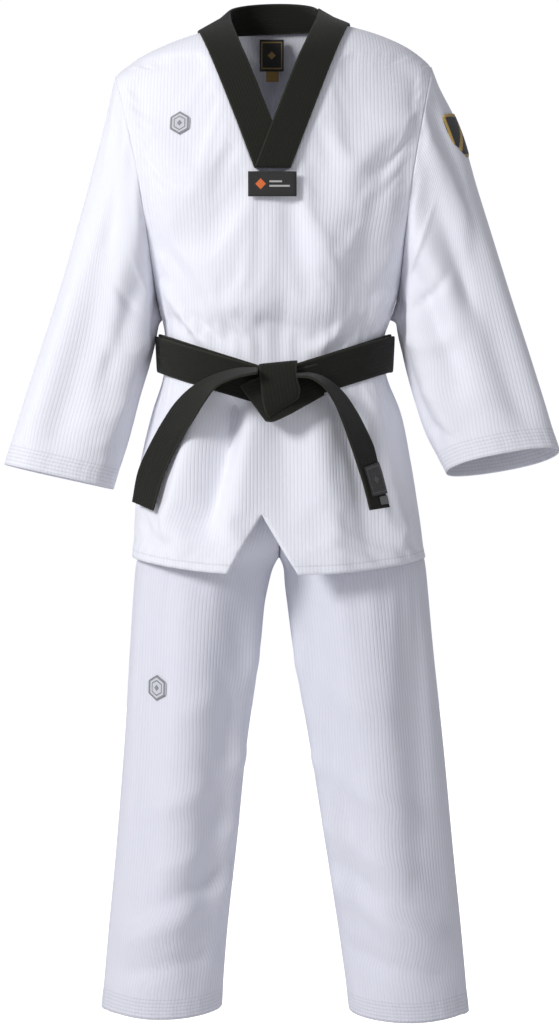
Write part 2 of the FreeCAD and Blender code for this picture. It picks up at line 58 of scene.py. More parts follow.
floor_mesh = bpy.data.meshes.new("floor")
floor_corners = [(x, y, FLOOR_Z) for x, y in ((-6, -6), (6, -6), (6, 6), (-6, 6))]
floor_mesh.from_pydata(floor_corners, [], [(0, 1, 2, 3)])
floor = bpy.data.objects.new("floor", floor_mesh)
bpy.context.collection.objects.link(floor)
floor_mat = bpy.data.materials.new("pale_floor")
floor_mat.use_nodes = True
floor_tree = floor_mat.node_tree
floor_shader = floor_tree.nodes["Principled BSDF"]
floor_shader.inputs["Base Color"].default_value = (0.9, 0.9, 0.91, 1)
floor_shader.inputs["Roughness"].default_value = 0.9
floor_shader.inputs["Emission Color"].default_value = (1, 1, 1, 1)
floor_seen = floor_tree.nodes.new("ShaderNodeLightPath")
floor_tree.links.new(floor_seen.outputs["Is Camera Ray"], floor_shader.inputs["Emission Strength"])
floor_mesh.materials.append(floor_mat)

world = bpy.data.worlds.new("pale_sky")
world.use_nodes = True
sky = world.node_tree.nodes["Background"]
sky.inputs["Color"].default_value = (0.95, 0.955, 1.0, 1)
seen = world.node_tree.nodes.new("ShaderNodeLightPath")
level = world.node_tree.nodes.new("ShaderNodeMapRange")
level.inputs["To Min"].default_value = 0.36
level.inputs["To Max"].default_value = 1.06
world.node_tree.links.new(seen.outputs["Is Camera Ray"], level.inputs["Value"])
world.node_tree.links.new(level.outputs["Result"], sky.inputs["Strength"])
bpy.context.scene.world = world
bpy.context.scene.view_settings.view_transform = "Standard"


def soft_light(name, at, aim, size, watts, colour=(1, 1, 1)):
    """A square area light at one point, turned towards another."""
    data = bpy.data.lights.new(name, "AREA")
    data.shape, data.size, data.energy, data.color = "SQUARE", size, watts, colour
    light = bpy.data.objects.new(name, data)
    light.location = at
    light.rotation_euler = (Vector(aim) - Vector(at)).to_track_quat("-Z", "Y").to_euler()
    bpy.context.collection.objects.link(light)


soft_light("key", (-2.3, -2.3, 0.9), (0, 0, -0.55), 0.9, 82)
soft_light("fill", (1.6, -3.0, -0.4), (0, 0, -0.6), 1.6, 5, (0.93, 0.95, 1.0))
soft_light("back", (0.4, 2.4, 0.6), (0, 0, -0.6), 2.0, 16)

camera_data = bpy.data.cameras.new("camera")
camera = bpy.data.objects.new("camera", camera_data)
bpy.context.collection.objects.link(camera)
camera.location = CAMERA_AT
camera.rotation_euler = (math.pi / 2, 0, 0)
camera_data.sensor_fit = "VERTICAL"
camera_data.angle = 2 * math.atan(FRAME_HEIGHT / 2 / -CAMERA_AT[1])
camera_data.shift_y = (FRAME_MIDDLE_Z - CAMERA_AT[2]) / FRAME_HEIGHT
bpy.context.scene.camera = camera

# ---- White cloth ----------------------------------------------------------------------------------------
# Jacket and trousers are cut from one cotton-rich cloth with fine raised ribs along the body, 5 mm apart.
# Hems are turned in and held by rows of topstitching, so the cloth is thicker there and puckers between
# the rows.

WHITE = (0.86, 0.865, 0.92, 1)
RIB_PITCH = 0.005


def new_group(name, inputs, outputs):
    """An empty shader group with float or vector sockets."""
    group = bpy.data.node_groups.new(name, "ShaderNodeTree")
    kinds = {"f": "NodeSocketFloat", "v": "NodeSocketVector"}
    for socket, kind, value in inputs:
        item = group.interface.new_socket(socket, in_out="INPUT", socket_type=kinds[kind])
        if value is not None:
            item.default_value = value
    for socket in outputs:
        group.interface.new_socket(socket, in_out="OUTPUT", socket_type="NodeSocketFloat")
    return group, group.nodes.new("NodeGroupInput"), group.nodes.new("NodeGroupOutput")


def math_node(tree, operation, *values):
    """A Math node whose inputs are sockets or numbers; gives its output."""
    node = tree.nodes.new("ShaderNodeMath")
    node.operation = operation
    for i, value in enumerate(values):
        if isinstance(value, (int, float)):
            node.inputs[i].default_value = value
        else:
            tree.links.new(value, node.inputs[i])
    return node.outputs[0]


def split(tree, vector):
    """The three parts of a vector socket."""
    node = tree.nodes.new("ShaderNodeSeparateXYZ")
    tree.links.new(vector, node.inputs[0])
    return node.outputs


# Ribs: a rounded ridge every pitch, with the weave's small grain on top.
ribs_group, ribs_in, ribs_out = new_group(
    "ribs", [("Cloth", "v", None), ("Pitch", "f", RIB_PITCH)], ["Height", "Valley"]
)
axes = split(ribs_group, ribs_in.outputs["Cloth"])
turns = math_node(ribs_group, "DIVIDE", axes[0], ribs_in.outputs["Pitch"])
wave = math_node(ribs_group, "COSINE", math_node(ribs_group, "MULTIPLY", turns, 2 * math.pi))
ridge = math_node(ribs_group, "MULTIPLY_ADD", wave, 0.5, 0.5)
narrow = math_node(ribs_group, "POWER", math_node(ribs_group, "SUBTRACT", 1.0, ridge), 3.0)
grain = ribs_group.nodes.new("ShaderNodeTexNoise")
grain.inputs["Scale"].default_value = 900
grain.inputs["Detail"].default_value = 2
ribs_group.links.new(ribs_in.outputs["Cloth"], grain.inputs["Vector"])
rib = math_node(ribs_group, "SUBTRACT", 1.0, narrow)
height = math_node(ribs_group, "MULTIPLY_ADD", grain.outputs[0], 0.25, rib)
ribs_group.links.new(height, ribs_out.inputs["Height"])
ribs_group.links.new(narrow, ribs_out.inputs["Valley"])

# Stitch rows: dashes of thread along lines a fixed step apart, up to a given depth from the edge.
rows_group, rows_in, rows_out = new_group(
    "stitch_rows", [("Edge", "v", None), ("Step", "f", 0.005), ("Depth", "f", 0.028)], ["Line", "Thread"]
)
axes = split(rows_group, rows_in.outputs["Edge"])
place = math_node(rows_group, "FRACT", math_node(rows_group, "DIVIDE", axes[1], rows_in.outputs["Step"]))
off = math_node(rows_group, "ABSOLUTE", math_node(rows_group, "SUBTRACT", place, 0.5))
off = math_node(rows_group, "MULTIPLY", off, rows_in.outputs["Step"])
near = math_node(rows_group, "LESS_THAN", off, 0.0007)
inside = math_node(rows_group, "LESS_THAN", axes[1], rows_in.outputs["Depth"])
past = math_node(rows_group, "GREATER_THAN", axes[1], 0.0005)
line = math_node(rows_group, "MULTIPLY", math_node(rows_group, "MULTIPLY", near, inside), past)
beat = math_node(rows_group, "FRACT", math_node(rows_group, "DIVIDE", axes[0], 0.0035))
dash = math_node(rows_group, "LESS_THAN", beat, 0.7)
rows_group.links.new(line, rows_out.inputs["Line"])
rows_group.links.new(math_node(rows_group, "MULTIPLY", line, dash), rows_out.inputs["Thread"])


def group_node(tree, group):
    """One placing of a shader group."""
    node = tree.nodes.new("ShaderNodeGroup")
    node.node_tree = group
    return node


def uv_of(tree, layer):
    """A piece's own measure: cloth runs across and along the weave, edge runs along and in from the hem."""
    node = tree.nodes.new("ShaderNodeUVMap")
    node.uv_map = layer
    return node.outputs[0]


def tint(tree, factor, base, other):
    """Colour mix by a factor socket; base and other are colours or sockets."""
    node = tree.nodes.new("ShaderNodeMix")
    node.data_type = "RGBA"
    tree.links.new(factor, node.inputs["Factor"])
    for socket, value in ((node.inputs[6], base), (node.inputs[7], other)):
        if isinstance(value, tuple):
            socket.default_value = value
        else:
            tree.links.new(value, socket)
    return node.outputs[2]


def bump(tree, height, distance, strength, onto=None):
    """A normal raised by a height socket, on top of another normal where one is given."""
    node = tree.nodes.new("ShaderNodeBump")
    node.inputs["Distance"].default_value = distance
    node.inputs["Strength"].default_value = strength
    tree.links.new(height, node.inputs["Height"])
    if onto is not None:
        tree.links.new(onto, node.inputs["Normal"])
    return node.outputs[0]


def ribbed_cloth(name, colour, step=0.005, depth=0.028):
    """The white cloth with ribs, and stitch rows of the given step and depth along its hem, with painted
    shade in the rib valleys and along the stitch lines.
    """
    mat = bpy.data.materials.new(name)
    mat.use_nodes = True
    tree = mat.node_tree
    shader = tree.nodes["Principled BSDF"]
    ribs = group_node(tree, ribs_group)
    tree.links.new(uv_of(tree, "cloth"), ribs.inputs["Cloth"])
    rows = group_node(tree, rows_group)
    rows.inputs["Step"].default_value = step
    rows.inputs["Depth"].default_value = depth
    tree.links.new(uv_of(tree, "edge"), rows.inputs["Edge"])
    soil = tree.nodes.new("ShaderNodeTexNoise")
    soil.inputs["Scale"].default_value = 6
    tree.links.new(uv_of(tree, "cloth"), soil.inputs["Vector"])
    # painted shade: this shaded colour darkens the rib valleys and the sunken stitch lines
    shaded = tuple(c * 0.80 for c in colour[:3]) + (1,)
    cooler = (colour[0] * 0.955, colour[1] * 0.965, colour[2], 1)
    base = tint(tree, math_node(tree, "MULTIPLY", soil.outputs[0], 0.8), colour, cooler)
    base = tint(tree, math_node(tree, "MULTIPLY", ribs.outputs["Valley"], 0.28), base, shaded)
    base = tint(tree, math_node(tree, "MULTIPLY", rows.outputs["Line"], 0.5), base, shaded)
    tree.links.new(base, shader.inputs["Base Color"])
    rough = math_node(tree, "MULTIPLY_ADD", ribs.outputs["Height"], -0.08, 0.92)
    tree.links.new(rough, shader.inputs["Roughness"])
    shader.inputs["Sheen Weight"].default_value = 0.12
    shader.inputs["Sheen Roughness"].default_value = 0.6
    shader.inputs["Specular IOR Level"].default_value = 0.2
    dented = math_node(tree, "MULTIPLY", rows.outputs["Line"], 2.0)
    sunk = math_node(tree, "SUBTRACT", rows.outputs["Thread"], dented)
    normal = bump(tree, ribs.outputs["Height"], 0.0006, 0.32)
    normal = bump(tree, sunk, 0.0006, 0.6, normal)
    tree.links.new(normal, shader.inputs["Normal"])
    return mat


jacket_cloth = ribbed_cloth("jacket_cloth", WHITE, 0.020, 0.020)
sleeve_cloth = ribbed_cloth("sleeve_cloth", WHITE)
# the trousers take a darker copy of the same white cloth: painted shade
trouser_cloth = ribbed_cloth("trouser_cloth", (0.76, 0.765, 0.835, 1))


def through(knots, values, at):
    """A smooth curve through values at rising knots: cubic pieces, whose slope at a knot is that of the line
    through its neighbours."""
    knots, values, at = np.asarray(knots, float), np.asarray(values, float), np.asarray(at, float)
    slopes = np.gradient(values, knots, axis=0)
    i = np.clip(np.searchsorted(knots, at, side="right") - 1, 0, len(knots) - 2)
    span = knots[i + 1] - knots[i]
    t = (at - knots[i]) / span
    shape = t.shape + (1,) * (values.ndim - 1)
    t, span = t.reshape(shape), span.reshape(shape)
    a, b, m, n = values[i], values[i + 1], slopes[i] * span, slopes[i + 1] * span
    return a + t * (m + t * (3 * (b - a) - 2 * m - n + t * (2 * (a - b) + m + n)))


def run_length(points, axis):
    """Distance travelled along one axis of a grid of points, from its start."""
    steps = np.linalg.norm(np.diff(points, axis=axis), axis=-1)
    first = np.zeros_like(np.take(steps, [0], axis=axis))
    return np.concatenate([first, np.cumsum(steps, axis=axis)], axis=axis)


def cloth_piece(name, grids, material):
    """A mesh from grids of points: rows run down and columns to the right as seen from outside. Each grid is
    (points, cloth measure, edge measure); edges that touch are joined."""
    verts, faces, cloth, edge = [], [], [], []
    for points, cloth_uv, edge_uv in grids:
        rows, cols = points.shape[:2]
        first = sum(len(v) for v in verts)
        index = first + np.arange(rows * cols).reshape(rows, cols)
        quads = np.stack([index[:-1, :-1], index[1:, :-1], index[1:, 1:], index[:-1, 1:]], -1).reshape(-1, 4)
        verts.append(points.reshape(-1, 3))
        cloth.append(cloth_uv.reshape(-1, 2))
        edge.append(edge_uv.reshape(-1, 2))
        faces.append(quads)
    verts, faces = np.concatenate(verts), np.concatenate(faces)
    mesh = bpy.data.meshes.new(name)
    mesh.from_pydata(verts.tolist(), [], faces.tolist())
    loops = faces.reshape(-1)
    for layer, values in (("cloth", np.concatenate(cloth)), ("edge", np.concatenate(edge))):
        mesh.uv_layers.new(name=layer).data.foreach_set("uv", values[loops].astype(np.float32).reshape(-1))
    work = bmesh.new()
    work.from_mesh(mesh)
    bmesh.ops.remove_doubles(work, verts=work.verts, dist=0.0002)
    bmesh.ops.dissolve_degenerate(work, dist=0.0001, edges=work.edges)
    work.to_mesh(mesh)
    work.free()
    mesh.polygons.foreach_set("use_smooth", [True] * len(mesh.polygons))
    mesh.materials.append(material)
    piece = bpy.data.objects.new(name, mesh)
    bpy.context.collection.objects.link(piece)
    return piece


def finish_cloth(piece, thick=0.0012, levels=1):
    """One smoothing level, then the cloth's thickness inwards."""
    if levels:
        subdivide = piece.modifiers.new("smooth", "SUBSURF")
        subdivide.levels = subdivide.render_levels = levels
    solid = piece.modifiers.new("thickness", "SOLIDIFY")
    solid.thickness = thick
    solid.offset = -1


def spots(piece):
    """A piece's vertex places as an array."""
    co = np.empty(len(piece.data.vertices) * 3, np.float32)
    piece.data.vertices.foreach_get("co", co)
    return co.reshape(-1, 3).astype(float)


def place_spots(piece, points):
    """Puts a piece's vertices at new places."""
    piece.data.vertices.foreach_set("co", points.astype(np.float32).reshape(-1))
    piece.data.update()


SETTLE_FRAMES, SETTLE_CAP = 22, 0.006


def settle(piece, pinned, slack):
    """Cloth simulation: the sheet is cut a little too large (slack) and falls into wrinkles between the
    pinned places. No point moves further than the cap from where it started."""
    start = spots(piece)
    group = piece.vertex_groups.new(name="pinned")
    for level in (0.25, 0.5, 0.75, 1.0):
        chosen = np.nonzero(np.abs(pinned - level) < 0.125)[0].tolist()
        if chosen:
            group.add(chosen, level, "REPLACE")
    sim = piece.modifiers.new("sim", "CLOTH")
    s = sim.settings
    s.quality = 5
    s.mass = 0.15
    s.tension_stiffness = s.compression_stiffness = 6
    s.shear_stiffness = 2.5
    s.bending_stiffness = 0.35
    s.air_damping = 4
    s.shrink_min = -slack
    s.vertex_group_mass = "pinned"
    s.pin_stiffness = 1
    s.effector_weights.gravity = 0.4
    sim.collision_settings.use_collision = False
    sim.point_cache.frame_start = 1
    sim.point_cache.frame_end = SETTLE_FRAMES
    scene = bpy.context.scene
    for f in range(1, SETTLE_FRAMES + 1):
        scene.frame_set(f)
    moved = piece.evaluated_get(bpy.context.evaluated_depsgraph_get()).to_mesh()
    end = np.empty(len(moved.vertices) * 3, np.float32)
    moved.vertices.foreach_get("co", end)
    end = end.reshape(-1, 3).astype(float)
    piece.modifiers.remove(sim)
    piece.vertex_groups.remove(group)
    scene.frame_set(1)
    step = end - start
    size = np.linalg.norm(step, axis=1, keepdims=True)
    step *= np.tanh(size / SETTLE_CAP) * SETTLE_CAP / np.maximum(size, 1e-9)
    place_spots(piece, start + step)


# ---- Jacket body ----------------------------------------------------------------------------------------
# Front and back panels meet at the shoulder and side seams. The front has the V for the collar and an
# inverted V in the hem, the sides are vented, and the belt draws the waist in so that the skirt flares
# below it.

TORSO_Z = [
    -0.745, -0.600, -0.530, -0.476, -0.420, -0.392, -0.300, -0.230, -0.120, -0.0555, -0.025, -0.0125, 0.0,
]
TORSO = [  # half width, front depth, back depth, middle x, middle y
    (0.205, 0.140, 0.136, 0.006, 0), (0.189, 0.128, 0.126, 0.001, 0), (0.1735, 0.121, 0.118, 0.002, 0),
    (0.155, 0.113, 0.110, 0.000, 0), (0.154, 0.112, 0.110, 0.000, 0), (0.162, 0.120, 0.118, 0.002, 0),
    (0.195, 0.132, 0.130, 0.000, 0), (0.240, 0.136, 0.134, -0.002, 0), (0.252, 0.132, 0.132, -0.002, 0.001),
    (0.2195, 0.120, 0.120, -0.002, 0.003), (0.175, 0.106, 0.107, -0.002, 0.004),
    (0.1445, 0.098, 0.098, -0.002, 0.005), (0.1015, 0.088, 0.088, -0.002, 0.005),
]
SQUARE = 2.25             # a little flatter than an oval
HEM_Z, ARMHOLE_TOP, ARMPIT_Z = -0.732, -0.0555, -0.402
ARMHOLE_OUT = {-1: (-0.2215, -0.163), 1: (0.2175, 0.171)}    # x at the shoulder tip and at the armpit
NOTCH_TOP, NOTCH_X, NOTCH_SPREAD = -0.661, -0.017, {-1: -0.046, 1: 0.048}
V_END, V_HALF_TOP, V_HALF_END, V_X = -0.211, 0.101, 0.0235, -0.003


def torso_at(z):
    """The body's half width, depths and middle at a height."""
    values = through(TORSO_Z, TORSO, z)
    return [values[..., k] for k in range(5)]


def torso_point(angle, z):
    """Around the body: a squarish oval; angle 180 is the wearer's right side, 270 the front and 0 the left
    side. The shoulders slope up a little towards the wearer's left."""
    a, front, back, cx, cy = torso_at(z)
    c, s = np.cos(angle), np.sin(angle)
    x = cx + a * np.sign(c) * np.abs(c) ** (2 / SQUARE)
    deep = np.where(s < 0, front, back)
    y = cy + deep * np.sign(s) * np.abs(s) ** (2 / SQUARE)
    slope = (0.049 * x - 0.001) * np.clip(1 + z / 0.15, 0, 1)
    return np.stack([x, y, np.broadcast_to(z, x.shape) + slope], -1)


def angle_of(x, z, front=True):
    """The angle at which the body reaches x at that height."""
    a, _, _, cx, _ = torso_at(z)
    ratio = np.clip((x - cx) / a, -1, 1)
    c = np.sign(ratio) * np.abs(ratio) ** (SQUARE / 2)
    return 2 * math.pi - np.arccos(c) if front else np.arccos(c)


def front_spot(x, z, lift=0.0):
    """A point on the jacket's front at x and z, lifted off it."""
    x, z = np.asarray(x, float), np.asarray(z, float)
    point = torso_point(angle_of(x, z), z)
    out = np.stack([x * 0.9, point[..., 1], 0 * x], -1)
    out /= np.linalg.norm(out, axis=-1, keepdims=True)
    return point + out * lift


def armhole_x(side, z):
    """The line of the armhole seam, from shoulder tip to armpit."""
    top, low = ARMHOLE_OUT[side]
    t = (z - ARMHOLE_TOP) / (ARMPIT_Z - ARMHOLE_TOP)
    return top + (low - top) * t - side * 0.010 * np.sin(np.clip(t, 0, 1) * math.pi)


def outer_x(side, z):
    """Where a panel ends at the side: the shoulder seam, the armhole or the side seam."""
    a, _, _, cx, _ = torso_at(z)
    edge = cx + side * (a - 0.0005 * np.clip((-0.655 - z) / 0.02, 0, 1))
    in_armhole = (z < ARMHOLE_TOP) & (z > ARMPIT_Z)
    return np.where(in_armhole, side * np.minimum(side * armhole_x(side, z), side * edge), edge)


def v_half(z):
    """Half the width of the V: a straight line from the neck to its point."""
    return V_HALF_TOP + (V_HALF_END - V_HALF_TOP) * (z / V_END)


def front_middle_x(side, z):
    """Where a front half ends inwards: the V, then the centre line, then the notch."""
    centre = V_X + (NOTCH_X - V_X) * np.clip((z - V_END) / (NOTCH_TOP - V_END), 0, 1)
    fade = np.clip((z - V_END + 0.016) / 0.016, 0, 1)
    x = centre + side * v_half(np.maximum(z, V_END)) * fade
    drop = np.clip((NOTCH_TOP - z) / (NOTCH_TOP - HEM_Z), 0, 2)
    return x + np.where(z < NOTCH_TOP, NOTCH_SPREAD[side] * drop, 0)


FRONT_FOLDS = [  # start x, z, end x, z, width, height
    (-0.052, -0.480, -0.106, -0.670, 0.019, -0.028), (-0.090, -0.490, -0.144, -0.690, 0.017, 0.014),
    (-0.084, -0.550, -0.122, -0.700, 0.014, 0.014), (-0.020, -0.500, -0.058, -0.700, 0.020, 0.007),
    (0.050, -0.520, 0.085, -0.720, 0.018, 0.006),
    (0.092, -0.500, 0.135, -0.700, 0.016, -0.008), (0.125, -0.490, 0.172, -0.700, 0.014, 0.009),
    (0.150, -0.480, 0.200, -0.640, 0.012, -0.008), (-0.160, -0.480, -0.182, -0.640, 0.013, -0.006),
    (0.010, -0.500, 0.016, -0.660, 0.018, -0.005), (0.080, -0.470, 0.120, -0.540, 0.008, 0.004),
    (0.180, -0.090, 0.060, -0.330, 0.030, 0.009), (0.150, -0.160, 0.110, -0.380, 0.024, -0.010),
    (-0.150, -0.200, -0.060, -0.390, 0.026, 0.007), (-0.180, -0.250, -0.100, -0.400, 0.018, -0.008),
    (-0.185, -0.300, -0.120, -0.430, 0.012, -0.007), (-0.170, -0.350, -0.090, -0.440, 0.009, 0.006),
    (0.175, -0.330, 0.085, -0.435, 0.010, -0.007), (0.160, -0.360, 0.060, -0.445, 0.009, 0.006),
    (0.190, -0.240, 0.150, -0.400, 0.014, 0.009), (-0.205, -0.100, -0.160, -0.260, 0.016, -0.007),
    (0.205, -0.090, 0.178, -0.250, 0.014, -0.008), (-0.205, -0.140, -0.080, -0.230, 0.020, 0.006),
    (0.195, -0.130, 0.090, -0.210, 0.018, 0.006), (0.020, -0.240, 0.010, -0.430, 0.016, -0.006),
    (-0.050, -0.240, -0.030, -0.430, 0.022, 0.006), (0.055, -0.260, 0.060, -0.440, 0.018, 0.006),
    (-0.110, -0.400, -0.070, -0.445, 0.007, -0.004), (-0.050, -0.405, -0.030, -0.450, 0.007, 0.003),
    (0.110, -0.400, 0.085, -0.445, 0.007, -0.004), (0.130, -0.395, 0.140, -0.430, 0.007, 0.004),
]
BACK_FOLDS = [
    (-0.190, -0.120, -0.100, -0.300, 0.018, -0.006), (0.190, -0.120, 0.100, -0.300, 0.018, -0.006),
    (-0.170, -0.330, -0.060, -0.430, 0.012, 0.006), (0.170, -0.330, 0.060, -0.430, 0.012, 0.006),
    (0.010, -0.250, -0.010, -0.440, 0.020, -0.006), (-0.080, -0.300, -0.040, -0.440, 0.014, 0.005),
    (0.080, -0.300, 0.050, -0.440, 0.014, 0.005), (-0.060, -0.500, -0.085, -0.700, 0.016, -0.008),
    (0.060, -0.500, 0.080, -0.700, 0.016, -0.008), (0.000, -0.500, 0.005, -0.700, 0.022, 0.006),
    (-0.130, -0.500, -0.150, -0.700, 0.014, 0.006), (0.130, -0.500, 0.155, -0.700, 0.014, 0.006),
]


def fold_height(across, along, folds):
    """The sum of soft ridges: each is a bell across its line that fades in and out along it."""
    total = np.zeros_like(across)
    for x0, z0, x1, z1, wide, high in folds:
        dx, dz = x1 - x0, z1 - z0
        length = math.hypot(dx, dz)
        t = ((across - x0) * dx + (along - z0) * dz) / length**2
        d = ((across - x0) * dz - (along - z0) * dx) / length
        fade = np.clip(np.minimum(t + 0.15, 1.25 - t) / 0.4, 0, 1)
        total += high * np.exp(-((d / wide) ** 2)) * fade * fade * (3 - 2 * fade)
    return total


def add_out(points, height):
    """Moves points away from the body's upright middle line by height."""
    out = points.copy()
    out[..., 2] = 0
    out /= np.maximum(np.linalg.norm(out, axis=-1, keepdims=True), 1e-6)
    return points + out * height[..., None]


def body_grid(rows, angles, folds):
    """One panel of the body: points on the torso, moved out by its folds, by small gathers round the belt,
    and by the doubled cloth and puckers of the hem."""
    z = np.broadcast_to(rows[:, None], angles.shape)
    points = torso_point(angles, z)
    height = fold_height(points[..., 0], z, folds)
    to_side = np.clip(np.abs(points[..., 1] - 0.003) / 0.040, 0, 1)
    edge_x = np.where(points[..., 0] < 0, outer_x(-1, z), outer_x(1, z))
    in_armhole = (z < ARMHOLE_TOP) & (z > ARMPIT_Z)
    to_arm = np.where(in_armhole, np.clip(np.abs(edge_x - points[..., 0]) / 0.025, 0, 1), 1)
    height *= to_side * to_side * (3 - 2 * to_side) * to_arm
    across = np.abs(np.cos(angles))
    belt_z = -0.448 - np.where(np.sin(angles) < 0, 0.056 * (1 - across) ** 0.9, 0)
    belt = np.exp(-(((z - belt_z) / 0.030) ** 4))
    gather = 0.0022 * np.sin(angles * 46) * np.exp(-(((z + 0.455) / 0.075) ** 2)) * to_side
    height = (height + gather) * (1 - belt)
    hem = np.clip((z - HEM_Z) / 0.022, 0, 1)
    pucker = 0.0016 * np.sin(angles * 120) * np.exp(-(((z - HEM_Z - 0.012) / 0.010) ** 2))
    height += 0.0012 * (1 - hem) + pucker
    points = add_out(points, height)
    low = np.clip((-0.600 - z) / 0.132, 0, 1)
    points[..., 2] -= low * np.where(points[..., 1] < 0, 0.0185, 0.010) * np.sin(angles) ** 2
    return points


BODY_ROWS = np.concatenate([np.linspace(0.0, -0.060, 14), np.linspace(-0.068, HEM_Z, 84)])


def front_half(side):
    """One half of the front, from the V, the centre line and the notch out to the side, with the measures of
    its cloth."""
    rows = BODY_ROWS
    inner, outer = front_middle_x(side, rows), outer_x(side, rows)
    a, b = angle_of(inner, rows), angle_of(outer, rows)
    low, high = (b, a) if side < 0 else (a, b)
    t = np.linspace(0, 1, 34)
    angles = low[:, None] + (high - low)[:, None] * t
    points = body_grid(rows, angles, FRONT_FOLDS)
    reach = run_length(points, 1)
    u = reach - reach[:, -1:] if side < 0 else reach
    u = u + front_middle_x(side, rows)[:, None]
    z = np.broadcast_to(rows[:, None], u.shape)
    return points, np.stack([u, z], -1), np.stack([u, z - HEM_Z], -1)


front = cloth_piece("jacket_front_panel", [front_half(-1), front_half(1)], jacket_cloth)

from_a = angle_of(outer_x(1, BODY_ROWS), BODY_ROWS, False)
to_a = angle_of(outer_x(-1, BODY_ROWS), BODY_ROWS, False)
back_angles = from_a[:, None] + (to_a - from_a)[:, None] * np.linspace(0, 1, 66)
back_points = body_grid(BODY_ROWS, back_angles, BACK_FOLDS)
# the back rises in an arch to the nape
arch = np.sqrt(np.clip(1 - (back_points[..., 0] - V_X) ** 2 / 0.104**2, 0, 1))
back_points[..., 2] += 0.024 * arch * np.exp(BODY_ROWS[:, None] / 0.03)
back_u = run_length(back_points, 1)
back_u = back_u - back_u[:, 33:34]
back_z = np.broadcast_to(BODY_ROWS[:, None], back_u.shape)
back = cloth_piece(
    "jacket_back_panel",
    [(back_points, np.stack([back_u, back_z], -1), np.stack([back_u, back_z - HEM_Z], -1))], jacket_cloth,
)

# the notch's top and its two points stay sharp
sharp = front.data.attributes.new("crease_vert", "FLOAT", "POINT")
corners = np.array([
    [NOTCH_X, NOTCH_TOP], [NOTCH_X + NOTCH_SPREAD[-1], HEM_Z], [NOTCH_X + NOTCH_SPREAD[1], HEM_Z],
])
front_spots = spots(front)[:, [0, 2]]
for corner, drop in zip(corners, (0.0085, 0.0185, 0.0185)):
    near = np.argmin(np.linalg.norm(front_spots - (corner - [0, drop]), axis=1))
    sharp.data[int(near)].value = 1.0


def body_pins(piece):
    """Held fast round the neck, shoulders, armholes and belt, and by the stiff hem; free on chest and
    skirt."""
    co = spots(piece)
    x, z = co[:, 0], co[:, 2]
    to_edge = np.abs(np.where(x < 0, outer_x(-1, z), outer_x(1, z)) - x)
    hold = np.clip(1 - to_edge / 0.02, 0, 1)
    hold = np.maximum(hold, z > -0.05)
    hold = np.maximum(hold, np.abs(z + 0.448 + 0.036 * np.clip(-co[:, 1] / 0.11, 0, 1)) < 0.030)
    beside_v = np.abs(x - V_X) < v_half(np.maximum(z, V_END)) + 0.012
    hold = np.maximum(hold, beside_v & (z > V_END - 0.045))
    hold = np.maximum(hold, np.clip(1 - (z - HEM_Z) / 0.015, 0, 1) * 0.75)
    return np.round(hold * 4) / 4


for panel in (front, back):
    settle(panel, body_pins(panel), 0.018)
    finish_cloth(panel)
    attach(panel, "jacket")
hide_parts("jacket_front", "hem_facing_front_right", "hem_facing_front_left")
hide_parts("jacket_back", "hem_facing_back")

# ---- Sleeves --------------------------------------------------------------------------------------------
# Each sleeve is one straight-cut tube set into the armhole. It hangs in long soft folds that fan out from
# the armpit, and rows of stitching stiffen the cuff.

# outer x, z, inner x, z, half depth, middle y
RIGHT_SLEEVE = [
    (-0.2215, -0.060, -0.163, -0.402, 0.082, 0.000), (-0.2455, -0.140, -0.164, -0.408, 0.080, -0.002),
    (-0.2700, -0.232, -0.169, -0.420, 0.076, -0.003), (-0.3100, -0.374, -0.181, -0.466, 0.066, -0.008),
    (-0.3380, -0.462, -0.194, -0.510, 0.060, -0.012), (-0.3630, -0.542, -0.211, -0.575, 0.056, -0.016),
    (-0.3800, -0.602, -0.231, -0.636, 0.052, -0.020),
]
LEFT_SLEEVE = [
    (0.2175, -0.048, 0.171, -0.402, 0.084, 0.000), (0.2560, -0.118, 0.172, -0.406, 0.082, -0.004),
    (0.2880, -0.222, 0.176, -0.420, 0.078, -0.010), (0.3330, -0.374, 0.187, -0.472, 0.068, -0.026),
    (0.3580, -0.458, 0.198, -0.514, 0.062, -0.038), (0.3780, -0.530, 0.214, -0.562, 0.056, -0.052),
    (0.3930, -0.585, 0.240, -0.612, 0.051, -0.064),
]
# a fold's start round the sleeve in turns from the inner seam and along it, its end, its width and height
RIGHT_SLEEVE_FOLDS = [
    (0.98, 0.25, 0.93, 0.95, 0.014, -0.007), (0.90, 0.12, 0.86, 0.90, 0.016, 0.006),
    (0.84, 0.02, 0.80, 0.60, 0.010, -0.007), (0.78, 0.00, 0.76, 0.34, 0.008, 0.005),
    (0.72, 0.00, 0.71, 0.28, 0.007, -0.006), (0.68, 0.02, 0.68, 0.40, 0.010, 0.004),
    (0.74, 0.40, 0.72, 0.92, 0.016, -0.006), (0.66, 0.35, 0.64, 0.95, 0.018, 0.005),
    (0.97, 0.20, 0.80, 0.46, 0.012, 0.006), (0.96, 0.10, 0.78, 0.30, 0.008, -0.005),
    (0.94, 0.04, 0.80, 0.14, 0.006, 0.004), (0.92, 0.55, 0.80, 0.78, 0.014, 0.004),
    (0.62, 0.02, 0.60, 0.30, 0.012, -0.004), (0.95, 0.70, 0.84, 0.90, 0.012, -0.004),
    (0.10, 0.30, 0.16, 0.95, 0.022, -0.007), (0.22, 0.10, 0.26, 0.90, 0.026, 0.006),
    (0.36, 0.10, 0.38, 0.80, 0.024, -0.006),
]
